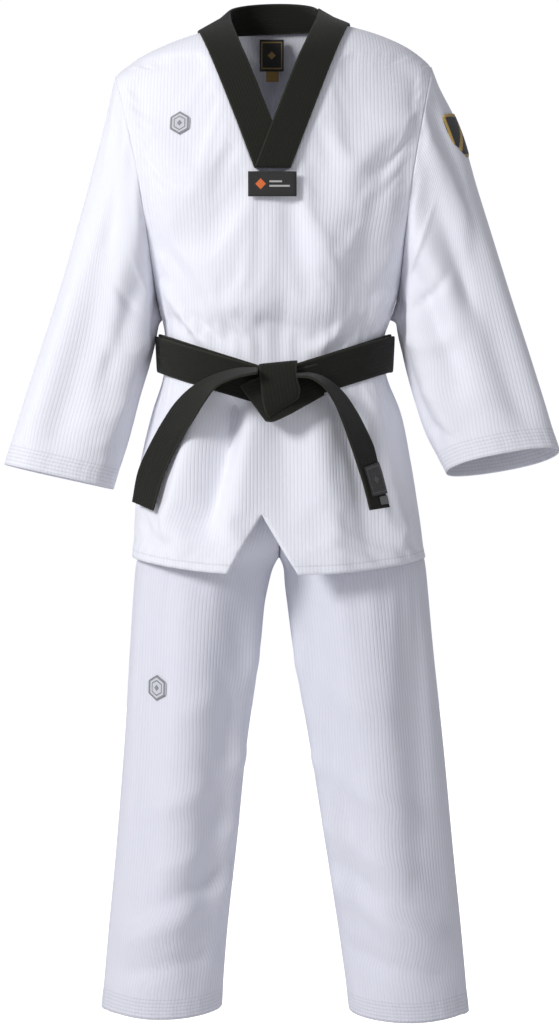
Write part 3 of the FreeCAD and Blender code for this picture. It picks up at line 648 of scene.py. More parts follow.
LEFT_SLEEVE_FOLDS = [
    (0.02, 0.30, 0.07, 0.95, 0.014, -0.007), (0.09, 0.12, 0.15, 0.90, 0.016, 0.007),
    (0.15, 0.02, 0.21, 0.62, 0.010, -0.013), (0.20, 0.00, 0.25, 0.42, 0.008, 0.010),
    (0.25, 0.00, 0.29, 0.50, 0.010, -0.012), (0.31, 0.00, 0.33, 0.34, 0.008, 0.010),
    (0.35, 0.00, 0.36, 0.24, 0.007, -0.010), (0.29, 0.30, 0.33, 0.94, 0.018, -0.006),
    (0.23, 0.40, 0.26, 0.94, 0.016, 0.005), (0.38, 0.35, 0.41, 0.95, 0.018, 0.004),
    (0.03, 0.22, 0.20, 0.50, 0.012, 0.006), (0.04, 0.12, 0.22, 0.32, 0.009, -0.006),
    (0.06, 0.05, 0.24, 0.12, 0.007, 0.005), (0.27, 0.05, 0.38, 0.02, 0.007, 0.006),
    (0.08, 0.58, 0.22, 0.80, 0.014, 0.004), (0.05, 0.74, 0.16, 0.92, 0.012, -0.004),
    (0.90, 0.30, 0.84, 0.95, 0.022, -0.007), (0.78, 0.10, 0.74, 0.90, 0.026, 0.006),
    (0.64, 0.10, 0.62, 0.80, 0.024, -0.006),
]
SLEEVE_ROWS, SLEEVE_COLS = 62, 60
SIDE_WORD = {-1: "right", 1: "left"}


def ring_tube(stations, side, rows, cols, square=2.3):
    """A tube through stations given by their outer and inner points. Columns start at the inner seam: the
    wearer's right tube goes round by its back first, the left one by its front, so both face outwards."""
    table = np.array(stations)
    middle = (table[:, 0:2] + table[:, 2:4]) / 2
    knots = np.concatenate([[0], np.cumsum(np.linalg.norm(np.diff(middle, axis=0), axis=1))])
    at = np.linspace(0, knots[-1], rows)
    s = through(knots, table, at)
    outer = np.stack([s[:, 0], s[:, 5], s[:, 1]], -1)
    inner = np.stack([s[:, 2], s[:, 5], s[:, 3]], -1)
    centre, across = (outer + inner) / 2, (inner - outer) / 2
    turn = np.linspace(0, 2 * math.pi, cols)
    c, d = np.cos(turn), np.sin(turn)
    c = np.sign(c) * np.abs(c) ** (2 / square)
    d = np.sign(d) * np.abs(d) ** (2 / square) * -side
    points = centre[:, None] + across[:, None] * c[None, :, None]
    points = points + np.array([0, 1.0, 0]) * (s[:, 4][:, None] * d[None, :])[..., None]
    return points, turn / (2 * math.pi)


def tube_out(points):
    """Directions away from the middle of each ring."""
    out = points - points.mean(axis=1, keepdims=True)
    return out / np.maximum(np.linalg.norm(out, axis=-1, keepdims=True), 1e-6)


def limb_grid(points, turn, folds):
    """Adds folds, the doubled cloth of the hem and its puckers to a tube, and measures its cloth from the
    outer line."""
    along = run_length(points, 0)
    share = along / along[-1:]
    around = np.broadcast_to(turn, share.shape)
    round_m, long_m = 0.35, 0.6    # shares of the tube to metres of its cloth
    metres = [(a * round_m, b * long_m, c * round_m, d * long_m, w * 0.8, h) for a, b, c, d, w, h in folds]
    height = fold_height(around * round_m, share * long_m, metres)
    seam = np.clip(np.minimum(around, 1 - around) / 0.06, 0, 1)
    height *= seam * seam * (3 - 2 * seam)
    hem = along[-1:] - along
    height *= np.clip(hem / 0.06, 0.25, 1) * np.clip(share / 0.06, 0, 1)
    height += 0.0011 * np.clip(1 - hem / 0.03, 0, 1)
    height += 0.0012 * np.sin(around * 2 * math.pi * 34 + 8 * hem) * np.exp(-(((hem - 0.014) / 0.013) ** 2))
    points = points + tube_out(points) * height[..., None]
    reach = run_length(points, 1)
    u = reach - reach[:, [len(turn) // 2]]
    return points, np.stack([u, -along], -1), np.stack([u, hem], -1)


sleeves = {}
for side, body, stations, folds in (
    (-1, "right_sleeve_body", RIGHT_SLEEVE, RIGHT_SLEEVE_FOLDS),
    (1, "left_sleeve_body", LEFT_SLEEVE, LEFT_SLEEVE_FOLDS),
):
    word = SIDE_WORD[side]
    points, turn = ring_tube(stations, side, SLEEVE_ROWS, SLEEVE_COLS)
    tip = np.linspace(0, 1, SLEEVE_ROWS)[:, None] ** 2 * (0.06 if side < 0 else 0.26)
    points[..., 2] -= tip * (points[..., 1] - points[..., 1].mean(axis=1, keepdims=True))
    # the first ring lies on the armhole seam of the body panels
    ring_z = points[0, :, 2]
    first_z = ARMHOLE_TOP + (ARMPIT_Z - ARMHOLE_TOP) * (ring_z.max() - ring_z) / (ring_z.max() - ring_z.min())
    on_front = points[0, :, 1] < stations[0][5]
    edge_x = armhole_x(side, first_z)
    seam = np.where(
        on_front[:, None], torso_point(angle_of(edge_x, first_z, True), first_z),
        torso_point(angle_of(edge_x, first_z, False), first_z),
    )
    shift = seam - points[0]
    share = np.linspace(0, 1, SLEEVE_ROWS)[:, None, None]
    points = points + shift[None] * np.clip(1 - share / 0.25, 0, 1) ** 2
    grid = limb_grid(points, turn, folds)
    sleeve = cloth_piece(f"{word}_sleeve_tube", [grid], sleeve_cloth)
    # only the armhole seam is held
    to_seam = np.min(np.linalg.norm(spots(sleeve)[:, None] - grid[0][0][None], axis=-1), axis=1)
    hold = np.clip(1 - to_seam / 0.02, 0, 1)
    settle(sleeve, np.round(hold * 4) / 4, 0.022)
    finish_cloth(sleeve)
    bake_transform(sleeve)
    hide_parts(f"{word}_sleeve", f"{word}_cuff_facing")
    sleeves[side] = sleeve

# ---- Trousers -------------------------------------------------------------------------------------------
# Two halves joined by the centre seam, each one straight-cut leg. The legs hang in soft creases that break
# over the ankle, where rows of stitching stiffen the hem.

MIDDLE_X = 0.006
# outer x, inner x, z, front depth, back depth, middle y
RIGHT_LEG = [
    (-0.138, 0.150, -0.486, 0.094, 0.094, 0.000), (-0.160, 0.172, -0.600, 0.110, 0.110, 0.002),
    (-0.176, 0.120, -0.660, 0.104, 0.106, 0.003), (-0.186, 0.060, -0.700, 0.097, 0.101, 0.004),
    (-0.193, 0.006, -0.735, 0.091, 0.096, 0.004), (-0.199, -0.012, -0.775, 0.090, 0.094, 0.004),
    (-0.205, -0.020, -0.850, 0.089, 0.092, 0.004), (-0.213, -0.039, -0.990, 0.085, 0.087, 0.006),
    (-0.223, -0.052, -1.130, 0.081, 0.082, 0.008), (-0.234, -0.067, -1.250, 0.077, 0.077, 0.010),
    (-0.243, -0.077, -1.357, 0.073, 0.073, 0.012),
]
LEFT_LEG = [
    (0.150, -0.138, -0.486, 0.094, 0.094, 0.000), (0.172, -0.160, -0.600, 0.110, 0.110, 0.002),
    (0.188, -0.108, -0.660, 0.104, 0.106, 0.003), (0.199, -0.048, -0.700, 0.097, 0.101, 0.004),
    (0.209, 0.006, -0.735, 0.091, 0.096, 0.004), (0.214, 0.014, -0.775, 0.092, 0.095, 0.004),
    (0.222, 0.024, -0.850, 0.091, 0.093, 0.004), (0.238, 0.049, -0.990, 0.087, 0.088, 0.006),
    (0.251, 0.070, -1.130, 0.082, 0.083, 0.008), (0.263, 0.090, -1.250, 0.078, 0.078, 0.010),
    (0.273, 0.107, -1.362, 0.073, 0.073, 0.012),
]
RIGHT_LEG_FOLDS = [
    (0.87, 0.34, 0.85, 0.90, 0.026, -0.011), (0.94, 0.34, 0.92, 0.80, 0.018, 0.006),
    (0.76, 0.28, 0.75, 0.90, 0.030, 0.009), (0.65, 0.36, 0.66, 0.80, 0.024, -0.006),
    (0.98, 0.62, 0.70, 0.68, 0.014, 0.006), (0.97, 0.80, 0.64, 0.88, 0.016, 0.008),
    (0.96, 0.77, 0.70, 0.83, 0.012, -0.006), (0.60, 0.94, 0.90, 0.90, 0.012, -0.006),
    (0.98, 0.48, 0.74, 0.54, 0.018, 0.005), (0.96, 0.72, 0.72, 0.77, 0.012, 0.005),
    (0.12, 0.36, 0.14, 0.90, 0.030, -0.008), (0.25, 0.30, 0.25, 0.90, 0.032, 0.007),
    (0.38, 0.36, 0.38, 0.85, 0.028, -0.006), (0.05, 0.66, 0.35, 0.60, 0.016, 0.004),
]
LEFT_LEG_FOLDS = [(1 - a, b, 1 - c, d, w, h) for a, b, c, d, w, h in RIGHT_LEG_FOLDS]
LEG_ROWS, LEG_COLS, LEG_SQUARE = 100, 58, 2.2


def leg_points(stations, side):
    """A leg and its half of the seat: squarish ovals down through the stations, from outer to inner line."""
    table = np.array(stations)
    z = np.linspace(table[0, 2], table[-1, 2], LEG_ROWS)
    s = through(-table[:, 2], table, -z)
    centre, half = (s[:, 0] + s[:, 1]) / 2, (s[:, 1] - s[:, 0]) / 2
    turn = np.linspace(0, 2 * math.pi, LEG_COLS)
    c, d = np.cos(turn), np.sin(turn) * -side
    c = np.sign(c) * np.abs(c) ** (2 / LEG_SQUARE)
    d = np.sign(d) * np.abs(d) ** (2 / LEG_SQUARE)
    x = centre[:, None] + half[:, None] * c
    deep = np.where(d < 0, s[:, 3][:, None], s[:, 4][:, None])
    y = s[:, 5][:, None] + deep * d
    return np.stack([x, y, np.broadcast_to(z[:, None], x.shape)], -1), turn / (2 * math.pi)


legs = {}
for side, body, stations, folds in (
    (-1, "right_leg", RIGHT_LEG, RIGHT_LEG_FOLDS), (1, "left_leg", LEFT_LEG, LEFT_LEG_FOLDS),
):
    word = SIDE_WORD[side]
    plain, turn = leg_points(stations, side)
    folded, cloth_uv, edge_uv = limb_grid(plain, turn, folds)
    # what would pass the middle seam is flattened onto it
    past_seam = side * (plain[..., 0] - MIDDLE_X) < 0
    points = np.where(past_seam[..., None], plain, folded)
    up_to_seam = side * np.maximum(side * folded[..., 0], side * MIDDLE_X)
    points[..., 0] = np.where(past_seam, MIDDLE_X, up_to_seam)
    half = cloth_piece(f"{word}_trouser_half", [(points, cloth_uv, edge_uv)], trouser_cloth)
    # the two halves are open to each other above the crotch
    work = bmesh.new()
    work.from_mesh(half.data)
    flat = [f for f in work.faces if all(abs(v.co.x - MIDDLE_X) < 1e-4 for v in f.verts)]
    bmesh.ops.delete(work, geom=flat, context="FACES")
    work.to_mesh(half.data)
    work.free()
    # the middle seam and the seat are held
    co = spots(half)
    at_seam = np.clip(1 - np.abs(co[:, 0] - MIDDLE_X) / 0.01, 0, 1)
    hold = np.maximum(at_seam, np.clip((co[:, 2] + 0.78) / 0.06, 0, 1))
    settle(half, np.round(hold * 4) / 4, 0.02)
    finish_cloth(half)
    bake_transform(half)
    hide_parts(f"{word}_leg_front", f"{word}_leg_back", f"{word}_ankle_facing")
    legs[side] = half
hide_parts("seat_front", "crotch_gusset")
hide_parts("seat_back")

# ---- Waistband ------------------------------------------------------------------------------------------
# The top of the trousers is folded over into a casing for a wide elastic, which gathers it into small upright
# pleats. Casing and elastic are one thick ring here.

casing_rows, casing_cols = 12, 260
turn = np.linspace(0, 2 * math.pi, casing_cols)
rise = np.linspace(0.0, 1.0, casing_rows)
round_out = np.sin(rise * math.pi)
bulge = 0.003 * round_out[:, None] + 0.0022 * np.sin(turn * 64)[None] * (0.4 + 0.6 * round_out)[:, None]
casing_points = np.stack([
    MIDDLE_X - (0.1415 + bulge) * np.cos(turn)[None],
    -(0.0915 + bulge) * np.sin(turn)[None],
    np.broadcast_to((-0.479 - 0.041 * rise)[:, None], bulge.shape),
], -1)
u = run_length(casing_points, 1)
casing_uv = np.stack([u, np.broadcast_to(casing_points[..., 2], u.shape)], -1)
casing_edge = np.stack([u, np.broadcast_to((0.041 * (1 - rise))[:, None], u.shape)], -1)
casing = cloth_piece("waistband", [(casing_points, casing_uv, casing_edge)], trouser_cloth)
finish_cloth(casing, 0.005, 0)
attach(casing, "trousers")
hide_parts("waistband_casing", "waist_elastic")

# ---- Black cloth ----------------------------------------------------------------------------------------
# Collar and belt are cotton twill, quilted by close parallel rows of stitching along their length.

BLACK = (0.0125, 0.0125, 0.0095, 1)
BAND_THICK = 0.0042


def black_cloth(name, colour, row_step):
    """Black twill with stitched rows along the strap, made paler in a thin strip along its edges."""
    mat = bpy.data.materials.new(name)
    mat.use_nodes = True
    tree = mat.node_tree
    shader = tree.nodes["Principled BSDF"]
    axes = split(tree, uv_of(tree, "cloth"))
    rows = math_node(tree, "COSINE", math_node(tree, "MULTIPLY", axes[0], 2 * math.pi / row_step))
    slant = math_node(tree, "ADD", axes[0], axes[1])
    twill = math_node(tree, "SINE", math_node(tree, "MULTIPLY", slant, 2 * math.pi / 0.0012))
    noise = tree.nodes.new("ShaderNodeTexNoise")
    noise.inputs["Scale"].default_value = 700
    noise.inputs["Detail"].default_value = 3
    tree.links.new(uv_of(tree, "cloth"), noise.inputs["Vector"])
    lint = math_node(tree, "MULTIPLY", math_node(tree, "GREATER_THAN", noise.outputs[0], 0.58), 0.35)
    edge_axes = split(tree, uv_of(tree, "edge"))
    # a thin strip along each edge is made paler
    edge_strip = math_node(tree, "LESS_THAN", edge_axes[1], 0.0022)
    paler = tuple(c * 2.4 for c in colour[:3]) + (1,)
    palest = tuple(c * 3.2 for c in colour[:3]) + (1,)
    base = tint(tree, lint, colour, paler)
    base = tint(tree, math_node(tree, "MULTIPLY", edge_strip, 0.45), base, palest)
    tree.links.new(base, shader.inputs["Base Color"])
    shader.inputs["Roughness"].default_value = 0.82
    shader.inputs["Sheen Weight"].default_value = 0.07
    shader.inputs["Sheen Roughness"].default_value = 0.5
    shader.inputs["Specular IOR Level"].default_value = 0.18
    fine = math_node(tree, "MULTIPLY_ADD", twill, 0.2, noise.outputs[0])
    height = math_node(tree, "MULTIPLY_ADD", rows, 0.6, fine)
    tree.links.new(bump(tree, height, 0.0005, 0.5), shader.inputs["Normal"])
    return mat


collar_black = black_cloth("collar_twill", BLACK, 0.0042)
belt_black = black_cloth("belt_twill", BLACK, 0.0050)


BAND_COLS = 18


def band(name, first_edge, second_edge, outward, material, closed=False):
    """A strap between two edge lines, padded like a folded band: its section is a flat oval with full edges.
    outward points off its face, and a strap that isn't closed in a ring gets an end cap at both ends."""
    n, cols = len(first_edge), BAND_COLS
    width = np.linalg.norm(second_edge - first_edge, axis=1)
    across = (second_edge - first_edge) / width[:, None]
    outward = outward - across * np.sum(outward * across, axis=1, keepdims=True)
    outward = outward / np.linalg.norm(outward, axis=1, keepdims=True)
    middle = (first_edge + second_edge) / 2
    turn = np.linspace(0, 2 * math.pi, 2 * cols + 1)
    c, d = np.cos(turn), np.sin(turn)
    c = np.sign(c) * np.abs(c) ** 0.28
    d = np.sign(d) * np.abs(d) ** 0.35
    points = (middle[:, None] + across[:, None] * (c[None, :, None] * width[:, None, None] / 2)
              + outward[:, None] * (d[None, :, None] * BAND_THICK / 2))
    along = np.concatenate([[0], np.cumsum(np.linalg.norm(np.diff(middle, axis=0), axis=1))])
    u = c[None] * width[:, None] / 2
    cloth = np.stack([u, np.broadcast_to(along[:, None], u.shape)], -1)
    edge = np.stack([np.broadcast_to(along[:, None], u.shape), (width[:, None] / 2 - np.abs(u))], -1)
    grids = [(points, cloth, edge)]
    if not closed:
        for end, flip in ((0, False), (n - 1, True)):
            ring = points[end][: 2 * cols]
            upper, lower = ring[: cols + 1], np.concatenate([ring[:1], ring[:cols - 1:-1]])
            cap = np.stack([upper, lower]) if flip else np.stack([lower, upper])
            cap_u = np.stack([u[end][: cols + 1]] * 2)
            cap_uv = np.stack([cap_u, np.full(cap_u.shape, along[end])], -1)
            grids.append((cap, cap_uv, np.stack([cap_u, np.full(cap_u.shape, 0.001)], -1)))
    piece = cloth_piece(name, grids, material)
    work = bmesh.new()
    work.from_mesh(piece.data)
    bmesh.ops.recalc_face_normals(work, faces=work.faces)
    work.to_mesh(piece.data)
    work.free()
    return piece


# ---- Collar ---------------------------------------------------------------------------------------------
# One folded band runs up each side of the V and stands round the back of the neck. The wearer's left side
# crosses over the right at the point.

COLLAR_WIDE = 0.0465


def collar_path(side):
    """Outer and inner edges of one band, from its lower end over the shoulder. The right band carries on
    round the back of the neck as the stand, and the left one ends on top of it behind the shoulder seam."""
    z = np.linspace(V_END, 0.0, 56)
    lift = 0.0035 if side < 0 else 0.0065
    outer = front_spot(V_X + side * v_half(z), z, lift)
    inner = front_spot(V_X + side * (v_half(z) - COLLAR_WIDE), z, lift)
    # the band rolls up off the chest near the shoulder and becomes the stand
    ease = np.clip((z + 0.06) / 0.06, 0, 1) ** 2
    grow = 0.0 if side < 0 else 0.0045
    turn = np.linspace(0, math.pi * 0.985 if side < 0 else 0.16, 66 if side < 0 else 5)[1:]
    c, d = side * np.cos(turn), np.sin(turn)
    foot_z = 0.0185 * d + 0.049 * 0.101 * c
    foot = np.stack([V_X + (0.101 + grow) * c, 0.003 + (0.086 + grow) * d, foot_z], -1)
    rim = np.stack([V_X + (0.060 + grow) * c, 0.010 + (0.062 + grow) * d, 0.034 + 0.025 * d + 0.0012 * c], -1)
    side_rim = np.array([V_X + side * (0.060 + grow), 0.010, 0.034 + side * 0.0012])
    raised = side_rim + np.stack([0 * z, z * 0.9, z * 0.7], -1)
    inner = inner * (1 - ease[:, None]) + raised * ease[:, None]
    return np.concatenate([outer, foot]), np.concatenate([inner, rim])


for side, word in ((-1, "right"), (1, "left")):
    outer, inner = collar_path(side)
    middle = (outer + inner) / 2
    away = middle - np.array([V_X, 0.01, 0])
    away[:, 2] = 0.02
    strap = band(f"collar_{word}", outer, inner, away, collar_black)
    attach(strap, "jacket")
    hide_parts(f"collar_{word}_band")
    if side < 0:
        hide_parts("collar_back_stand")

# ---- Belt -----------------------------------------------------------------------------------------------
# A 50 mm cotton belt, stiff with stitching. It goes twice round the waist, dips to the knot in front, and
# its two tails leave the knot face up before they turn and fall over the skirt.

BELT_WIDE = 0.050
turn = np.linspace(0, 2 * math.pi, 181)
for label, grow, drop in (("belt_inner", 0.0, 0.0), ("belt_outer", 0.0046, 0.0022)):
    dip = 0.056 * np.where(np.sin(turn) < 0, 1 - np.abs(np.cos(turn)), 0) ** 0.9
    z = -0.447 - dip + 0.010 * np.clip(np.sin(turn), 0, 1) ** 1.6 - drop * (1 + 0.6 * np.sin(2 * turn + 0.6))
    x, y = (0.1600 + grow) * np.cos(turn), (0.1205 + grow) * np.sin(turn)
    middle = np.stack([x, y, z], -1)
    lean = np.stack([np.cos(turn) * 0.05, np.sin(turn) * 0.05, np.ones_like(turn)], -1)
    upper, lower = middle + lean * BELT_WIDE / 2, middle - lean * BELT_WIDE / 2
    out = np.stack([np.cos(turn) / 0.16, np.sin(turn) / 0.12, 0 * turn], -1)
    strap = band(label, lower, upper, out, belt_black, closed=True)
    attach(strap, "jacket")
    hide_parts(f"{label}_turn")


def edge_lines(stations, n):
    """Smooth lines through both edges of a strap: stations are (first x, y, z, second x, y, z)."""
    table = np.array(stations)
    steps = np.linalg.norm(np.diff(table[:, :3] + table[:, 3:], axis=0), axis=1) / 2
    knots = np.concatenate([[0], np.cumsum(steps)])
    lines = through(knots, table, np.linspace(0, knots[-1], n))
    return lines[:, :3], lines[:, 3:]


# outer or back edge x, y, z, then inner or front edge x, y, z
TAILS = {
    "right": [
        (-0.022, -0.131, -0.476, -0.022, -0.178, -0.484), (-0.050, -0.132, -0.477, -0.052, -0.180, -0.491),
        (-0.080, -0.128, -0.485, -0.076, -0.175, -0.502), (-0.107, -0.117, -0.498, -0.091, -0.162, -0.520),
        (-0.131, -0.100, -0.518, -0.105, -0.145, -0.541), (-0.150, -0.083, -0.543, -0.120, -0.124, -0.563),
        (-0.170, -0.070, -0.577, -0.136, -0.106, -0.590), (-0.186, -0.060, -0.611, -0.151, -0.096, -0.622),
        (-0.195, -0.056, -0.655, -0.164, -0.094, -0.666),
    ],
    "left": [
        (0.028, -0.132, -0.482, 0.028, -0.180, -0.489), (0.050, -0.132, -0.483, 0.047, -0.180, -0.491),
        (0.070, -0.129, -0.491, 0.064, -0.177, -0.502), (0.090, -0.121, -0.507, 0.077, -0.168, -0.520),
        (0.108, -0.110, -0.531, 0.088, -0.155, -0.544), (0.124, -0.099, -0.560, 0.099, -0.141, -0.573),
        (0.138, -0.091, -0.591, 0.109, -0.131, -0.602), (0.149, -0.087, -0.622, 0.118, -0.126, -0.630),
        (0.159, -0.085, -0.661, 0.127, -0.123, -0.665),
    ],
}
TAIL_STEPS, KNOT_STEPS = 90, 60
tail_lines = {}
for word, stations in TAILS.items():
    back_edge, front_edge = edge_lines(stations, TAIL_STEPS)
    along = np.gradient(back_edge + front_edge, axis=0)
    out = np.cross(along, front_edge - back_edge)
    out *= np.sign(out[:, 1:2] * -1 + out[:, 2:3])
    strap = band(f"belt_tail_{word}", back_edge, front_edge, out, belt_black)
    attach(strap, f"{word}_tail_body")
    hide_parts(f"belt_{word}_tail")
    tail_lines[word] = (back_edge, front_edge, out)

# The knot: the belt is wound down over the front, and a slanting fold under it points to the wearer's right.
KNOT = {
    "belt_knot_loop": [
        (-0.020, -0.134, -0.473, 0.030, -0.134, -0.468), (-0.021, -0.150, -0.474, 0.030, -0.150, -0.469),
        (-0.020, -0.158, -0.486, 0.029, -0.158, -0.480), (-0.018, -0.161, -0.504, 0.031, -0.161, -0.494),
        (-0.016, -0.160, -0.521, 0.034, -0.159, -0.505), (-0.011, -0.155, -0.539, 0.032, -0.154, -0.514),
        (-0.007, -0.145, -0.543, 0.030, -0.144, -0.518),
    ],
    "belt_knot_fold": [
        (-0.040, -0.133, -0.496, -0.014, -0.133, -0.542), (-0.046, -0.140, -0.500, -0.013, -0.141, -0.546),
        (-0.030, -0.147, -0.492, -0.005, -0.148, -0.548), (0.000, -0.150, -0.484, 0.016, -0.150, -0.540),
        (0.026, -0.147, -0.478, 0.038, -0.146, -0.528), (0.056, -0.136, -0.470, 0.066, -0.134, -0.512),
    ],
}
for name, stations in KNOT.items():
    first, second = edge_lines(stations, KNOT_STEPS)
    out = np.tile([0.0, -1.0, 0.15], (KNOT_STEPS, 1))
    if name == "belt_knot_loop":    # it faces up at its top and down at its end
        out[:, 2] = np.interp(np.arange(KNOT_STEPS), [0, 12, 45, 60], [3.0, 1.0, -0.1, -1.5])
    strap = band(f"{name}_strap", first, second, out, belt_black)
    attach(strap, "jacket")
    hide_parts(name)

# ---- Labels and embroidery ------------------------------------------------------------------------------
# Woven labels are sewn on the cloth by their edges, and the chest and thigh badges are embroidered with
# thread. Their marks are plain shapes: bars, frames and lozenges.

GREY_THREAD = (0.5, 0.5, 0.5, 1)


def woven(name, ground, thread, kind):
    """A label of fine weave with a plain mark worked from its own 0 to 1 measure."""
    mat = bpy.data.materials.new(name)
    mat.use_nodes = True
    tree = mat.node_tree
    shader = tree.nodes["Principled BSDF"]
    axes = split(tree, uv_of(tree, "cloth"))
    du = math_node(tree, "ABSOLUTE", math_node(tree, "SUBTRACT", axes[0], 0.5))
    dv = math_node(tree, "ABSOLUTE", math_node(tree, "SUBTRACT", axes[1], 0.5))

    def between(value, low, high):
        above = math_node(tree, "GREATER_THAN", value, low)
        return math_node(tree, "MULTIPLY", above, math_node(tree, "LESS_THAN", value, high))

    def box_mask(u0, u1, v0, v1):
        return math_node(tree, "MULTIPLY", between(axes[0], u0, u1), between(axes[1], v0, v1))

    def either(first, second):
        return math_node(tree, "MAXIMUM", first, second)

    def lozenge(across, upright, half):
        return math_node(tree, "LESS_THAN", math_node(tree, "ADD", across, upright), half)

    other = None
    if kind == "bars":       # a lozenge and two bars
        from_left = math_node(tree, "ABSOLUTE", math_node(tree, "SUBTRACT", axes[0], 0.26))
        mask = lozenge(from_left, math_node(tree, "MULTIPLY", dv, 0.5), 0.11)
        other = either(box_mask(0.44, 0.70, 0.56, 0.63), box_mask(0.44, 0.86, 0.38, 0.45))
    elif kind == "frame":    # a frame and a lozenge
        tall = math_node(tree, "MULTIPLY", dv, 1.3)
        mask = either(between(either(du, dv), 0.39, 0.43), lozenge(du, tall, 0.17))
    elif kind == "badge":    # two six-sided rings and a lozenge
        slope = math_node(tree, "MULTIPLY_ADD", du, 0.45, math_node(tree, "MULTIPLY", dv, 0.9))
        far = either(du, slope)
        rings = either(between(far, 0.37, 0.46), between(far, 0.24, 0.29))
        mask = either(rings, lozenge(du, dv, 0.13))
    elif kind == "shield":   # a border and a bar across
        bar_off = math_node(tree, "ABSOLUTE", math_node(tree, "SUBTRACT", axes[0], axes[1]))
        mask = either(between(either(du, dv), 0.43, 0.50), math_node(tree, "LESS_THAN", bar_off, 0.09))
    else:                    # plain thread
        mask = math_node(tree, "GREATER_THAN", du, 2.0)
    base = tint(tree, mask, ground, thread)
    if other is not None:
        base = tint(tree, other, base, GREY_THREAD)
    tree.links.new(base, shader.inputs["Base Color"])
    shader.inputs["Roughness"].default_value = 0.7
    shader.inputs["Sheen Weight"].default_value = 0.15
    weave = tree.nodes.new("ShaderNodeTexWave")
    weave.inputs["Scale"].default_value = 26
    weave.inputs["Distortion"].default_value = 0.6
    tree.links.new(uv_of(tree, "cloth"), weave.inputs["Vector"])
    height = math_node(tree, "MULTIPLY_ADD", mask, 1.5, weave.outputs["Fac"])
    tree.links.new(bump(tree, height, 0.0004, 0.6), shader.inputs["Normal"])
    return mat


def patch(name, spot, outline, material, rows=16, cols=16, thick=0.0008):
    """A label on a curved face: a grid from 0 to 1 kept inside an outline of half widths by height, and put
    in its place by spot."""
    v = np.linspace(1, 0, rows)
    half = np.interp(v, *zip(*sorted(outline)))
    t = np.linspace(-1, 1, cols)
    u = 0.5 + 0.5 * half[:, None] * t
    vv = np.broadcast_to(v[:, None], u.shape)
    uv = np.stack([u, vv], -1)
    piece = cloth_piece(name, [(spot(u, vv), uv, uv)], material)
    finish_cloth(piece, thick, 0)
    return piece


def flat_on(cloth, centre, out, up, wide, tall, lift):
    """A place on settled cloth: a flat label's point is pressed onto it against its outward direction."""
    out, up = Vector(out).normalized(), Vector(up)
    up = (up - out * up.dot(out)).normalized()
    across = up.cross(out)

    def spot(u, v):
        points = np.empty(u.shape + (3,))
        for i in np.ndindex(u.shape):
            start = Vector(centre) + across * float(u[i] - 0.5) * wide + up * float(v[i] - 0.5) * tall
            hit, place, _, _ = cloth.ray_cast(start + out * 0.08, -out)
            points[i] = (place if hit else start) + out * lift
        return points

    return spot


# outlines: height and half width, both as shares
FULL = [(0, 1), (1, 1)]
HEX = [(0, 0.02), (0.25, 1), (0.75, 1), (1, 0.02)]
SHIELD = [(0, 0.04), (0.10, 0.45), (0.35, 0.92), (0.6, 1), (0.93, 1), (1, 0.8)]


def point_spot(u, v):
    """The collar's label spans the point of the V, on top of both bands."""
    return front_spot(-0.003 + (u - 0.5) * 0.0605, -0.2330 + (v - 0.5) * 0.0330, 0.0095)


def neck_spot(u, v):
    """The neck label hangs flat inside the back panel."""
    return np.stack([-0.005 + (u - 0.5) * 0.035, 0.0865 + 0 * u, -0.035 + v * 0.046], -1)


def tab_spot(u, v):
    """The size tab is sewn in under the neck label."""
    return np.stack([-0.004 + (u - 0.5) * 0.018, 0.0872 + 0 * u, -0.050 + v * 0.017], -1)


point_label = patch("collar_point_patch", point_spot, FULL,
                    woven("point_label_weave", (0.012, 0.012, 0.011, 1), (0.75, 0.16, 0.03, 1), "bars"))
chest_spot = flat_on(
    front, (-0.1255, -0.110, -0.148), (-0.20, -0.98, 0.05), (0.02, 0, 1), 0.0275, 0.0310, 0.0018
)
chest = patch("chest_badge_thread", chest_spot, HEX,
              woven("silver_thread", (0.76, 0.77, 0.82, 1), (0.33, 0.34, 0.36, 1), "badge"))
neck = patch("neck_label_patch", neck_spot, FULL,
             woven("neck_label_weave", (0.02, 0.02, 0.02, 1), (0.42, 0.27, 0.08, 1), "frame"))
tab = patch("size_tab_patch", tab_spot, FULL,
            woven("size_tab_weave", (0.45, 0.28, 0.07, 1), (0.1, 0.06, 0.02, 1), "plain"))

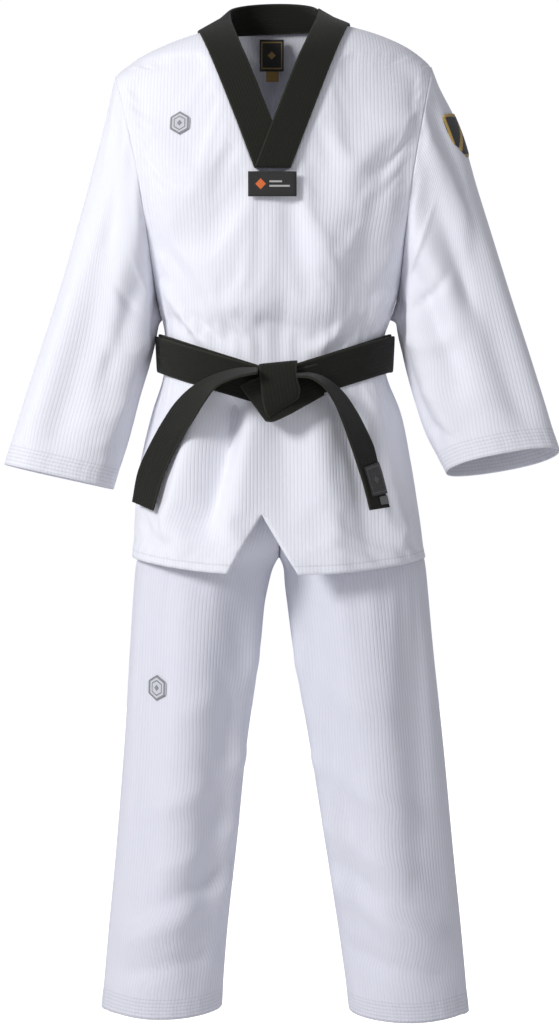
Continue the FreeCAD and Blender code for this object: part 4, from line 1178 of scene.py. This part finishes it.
for piece, node, slot_name in (
    (point_label, "collar_point_label", "black_label"), (chest, "chest_emblem", "silver_thread"),
    (neck, "neck_label", "black_label"), (tab, "size_tab", "gold_label"),
):
    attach(piece, "jacket")
    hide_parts(node)

shield_spot = flat_on(
    sleeves[1], (0.258, -0.045, -0.150), (0.80, -0.55, 0.28), (-0.36, 0, 0.93), 0.060, 0.064, 0.002
)
shield = patch("shoulder_shield_patch", shield_spot, SHIELD,
               woven("shield_weave", (0.02, 0.02, 0.022, 1), (0.48, 0.32, 0.08, 1), "shield"), thick=0.0012)
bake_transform(shield)
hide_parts("shoulder_shield")

thigh_spot = flat_on(
    legs[-1], (-0.1645, -0.080, -0.908), (-0.42, -0.91, 0), (0.03, 0, 1), 0.0330, 0.0345, 0.0018
)
# the leg badge's ground and thread are darker than the chest badge's: painted shade
thigh = patch("thigh_badge_thread", thigh_spot, HEX,
              woven("silver_thread_leg", (0.73, 0.74, 0.80, 1), (0.28, 0.29, 0.31, 1), "badge"))
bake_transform(thigh)
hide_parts("thigh_emblem")

belt_weave = woven("belt_label_weave", (0.018, 0.018, 0.016, 1), (0.075, 0.075, 0.07, 1), "frame")
bar_weave = woven("size_bar_weave", (0.16, 0.165, 0.155, 1), (0.1, 0.1, 0.1, 1), "plain")
back_edge, front_edge, out = tail_lines["left"]
out = out / np.linalg.norm(out, axis=1, keepdims=True)


def on_tail(start, long, first_u, wide):
    """A place on the left tail's face: start and long in the tail's steps, first_u and wide as shares of its
    width."""
    def spot(u, v):
        r = np.clip(start + (1 - v) * long, 0, TAIL_STEPS - 2)
        i = r.astype(int)
        f = (r - i)[..., None]
        first = back_edge[i] * (1 - f) + back_edge[i + 1] * f
        second = front_edge[i] * (1 - f) + front_edge[i + 1] * f
        return first + (second - first) * (first_u + wide * u)[..., None] + out[i] * 0.0030

    return spot


belt_label = patch("belt_label_patch", on_tail(66, 16, 0.14, 0.70), FULL, belt_weave)
bar = patch("belt_size_bar", on_tail(83, 4.2, 0.20, 0.34), FULL, bar_weave, rows=6, cols=8)
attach(bar, "left_tail_body")
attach(belt_label, "left_tail_body")
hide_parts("belt_label")
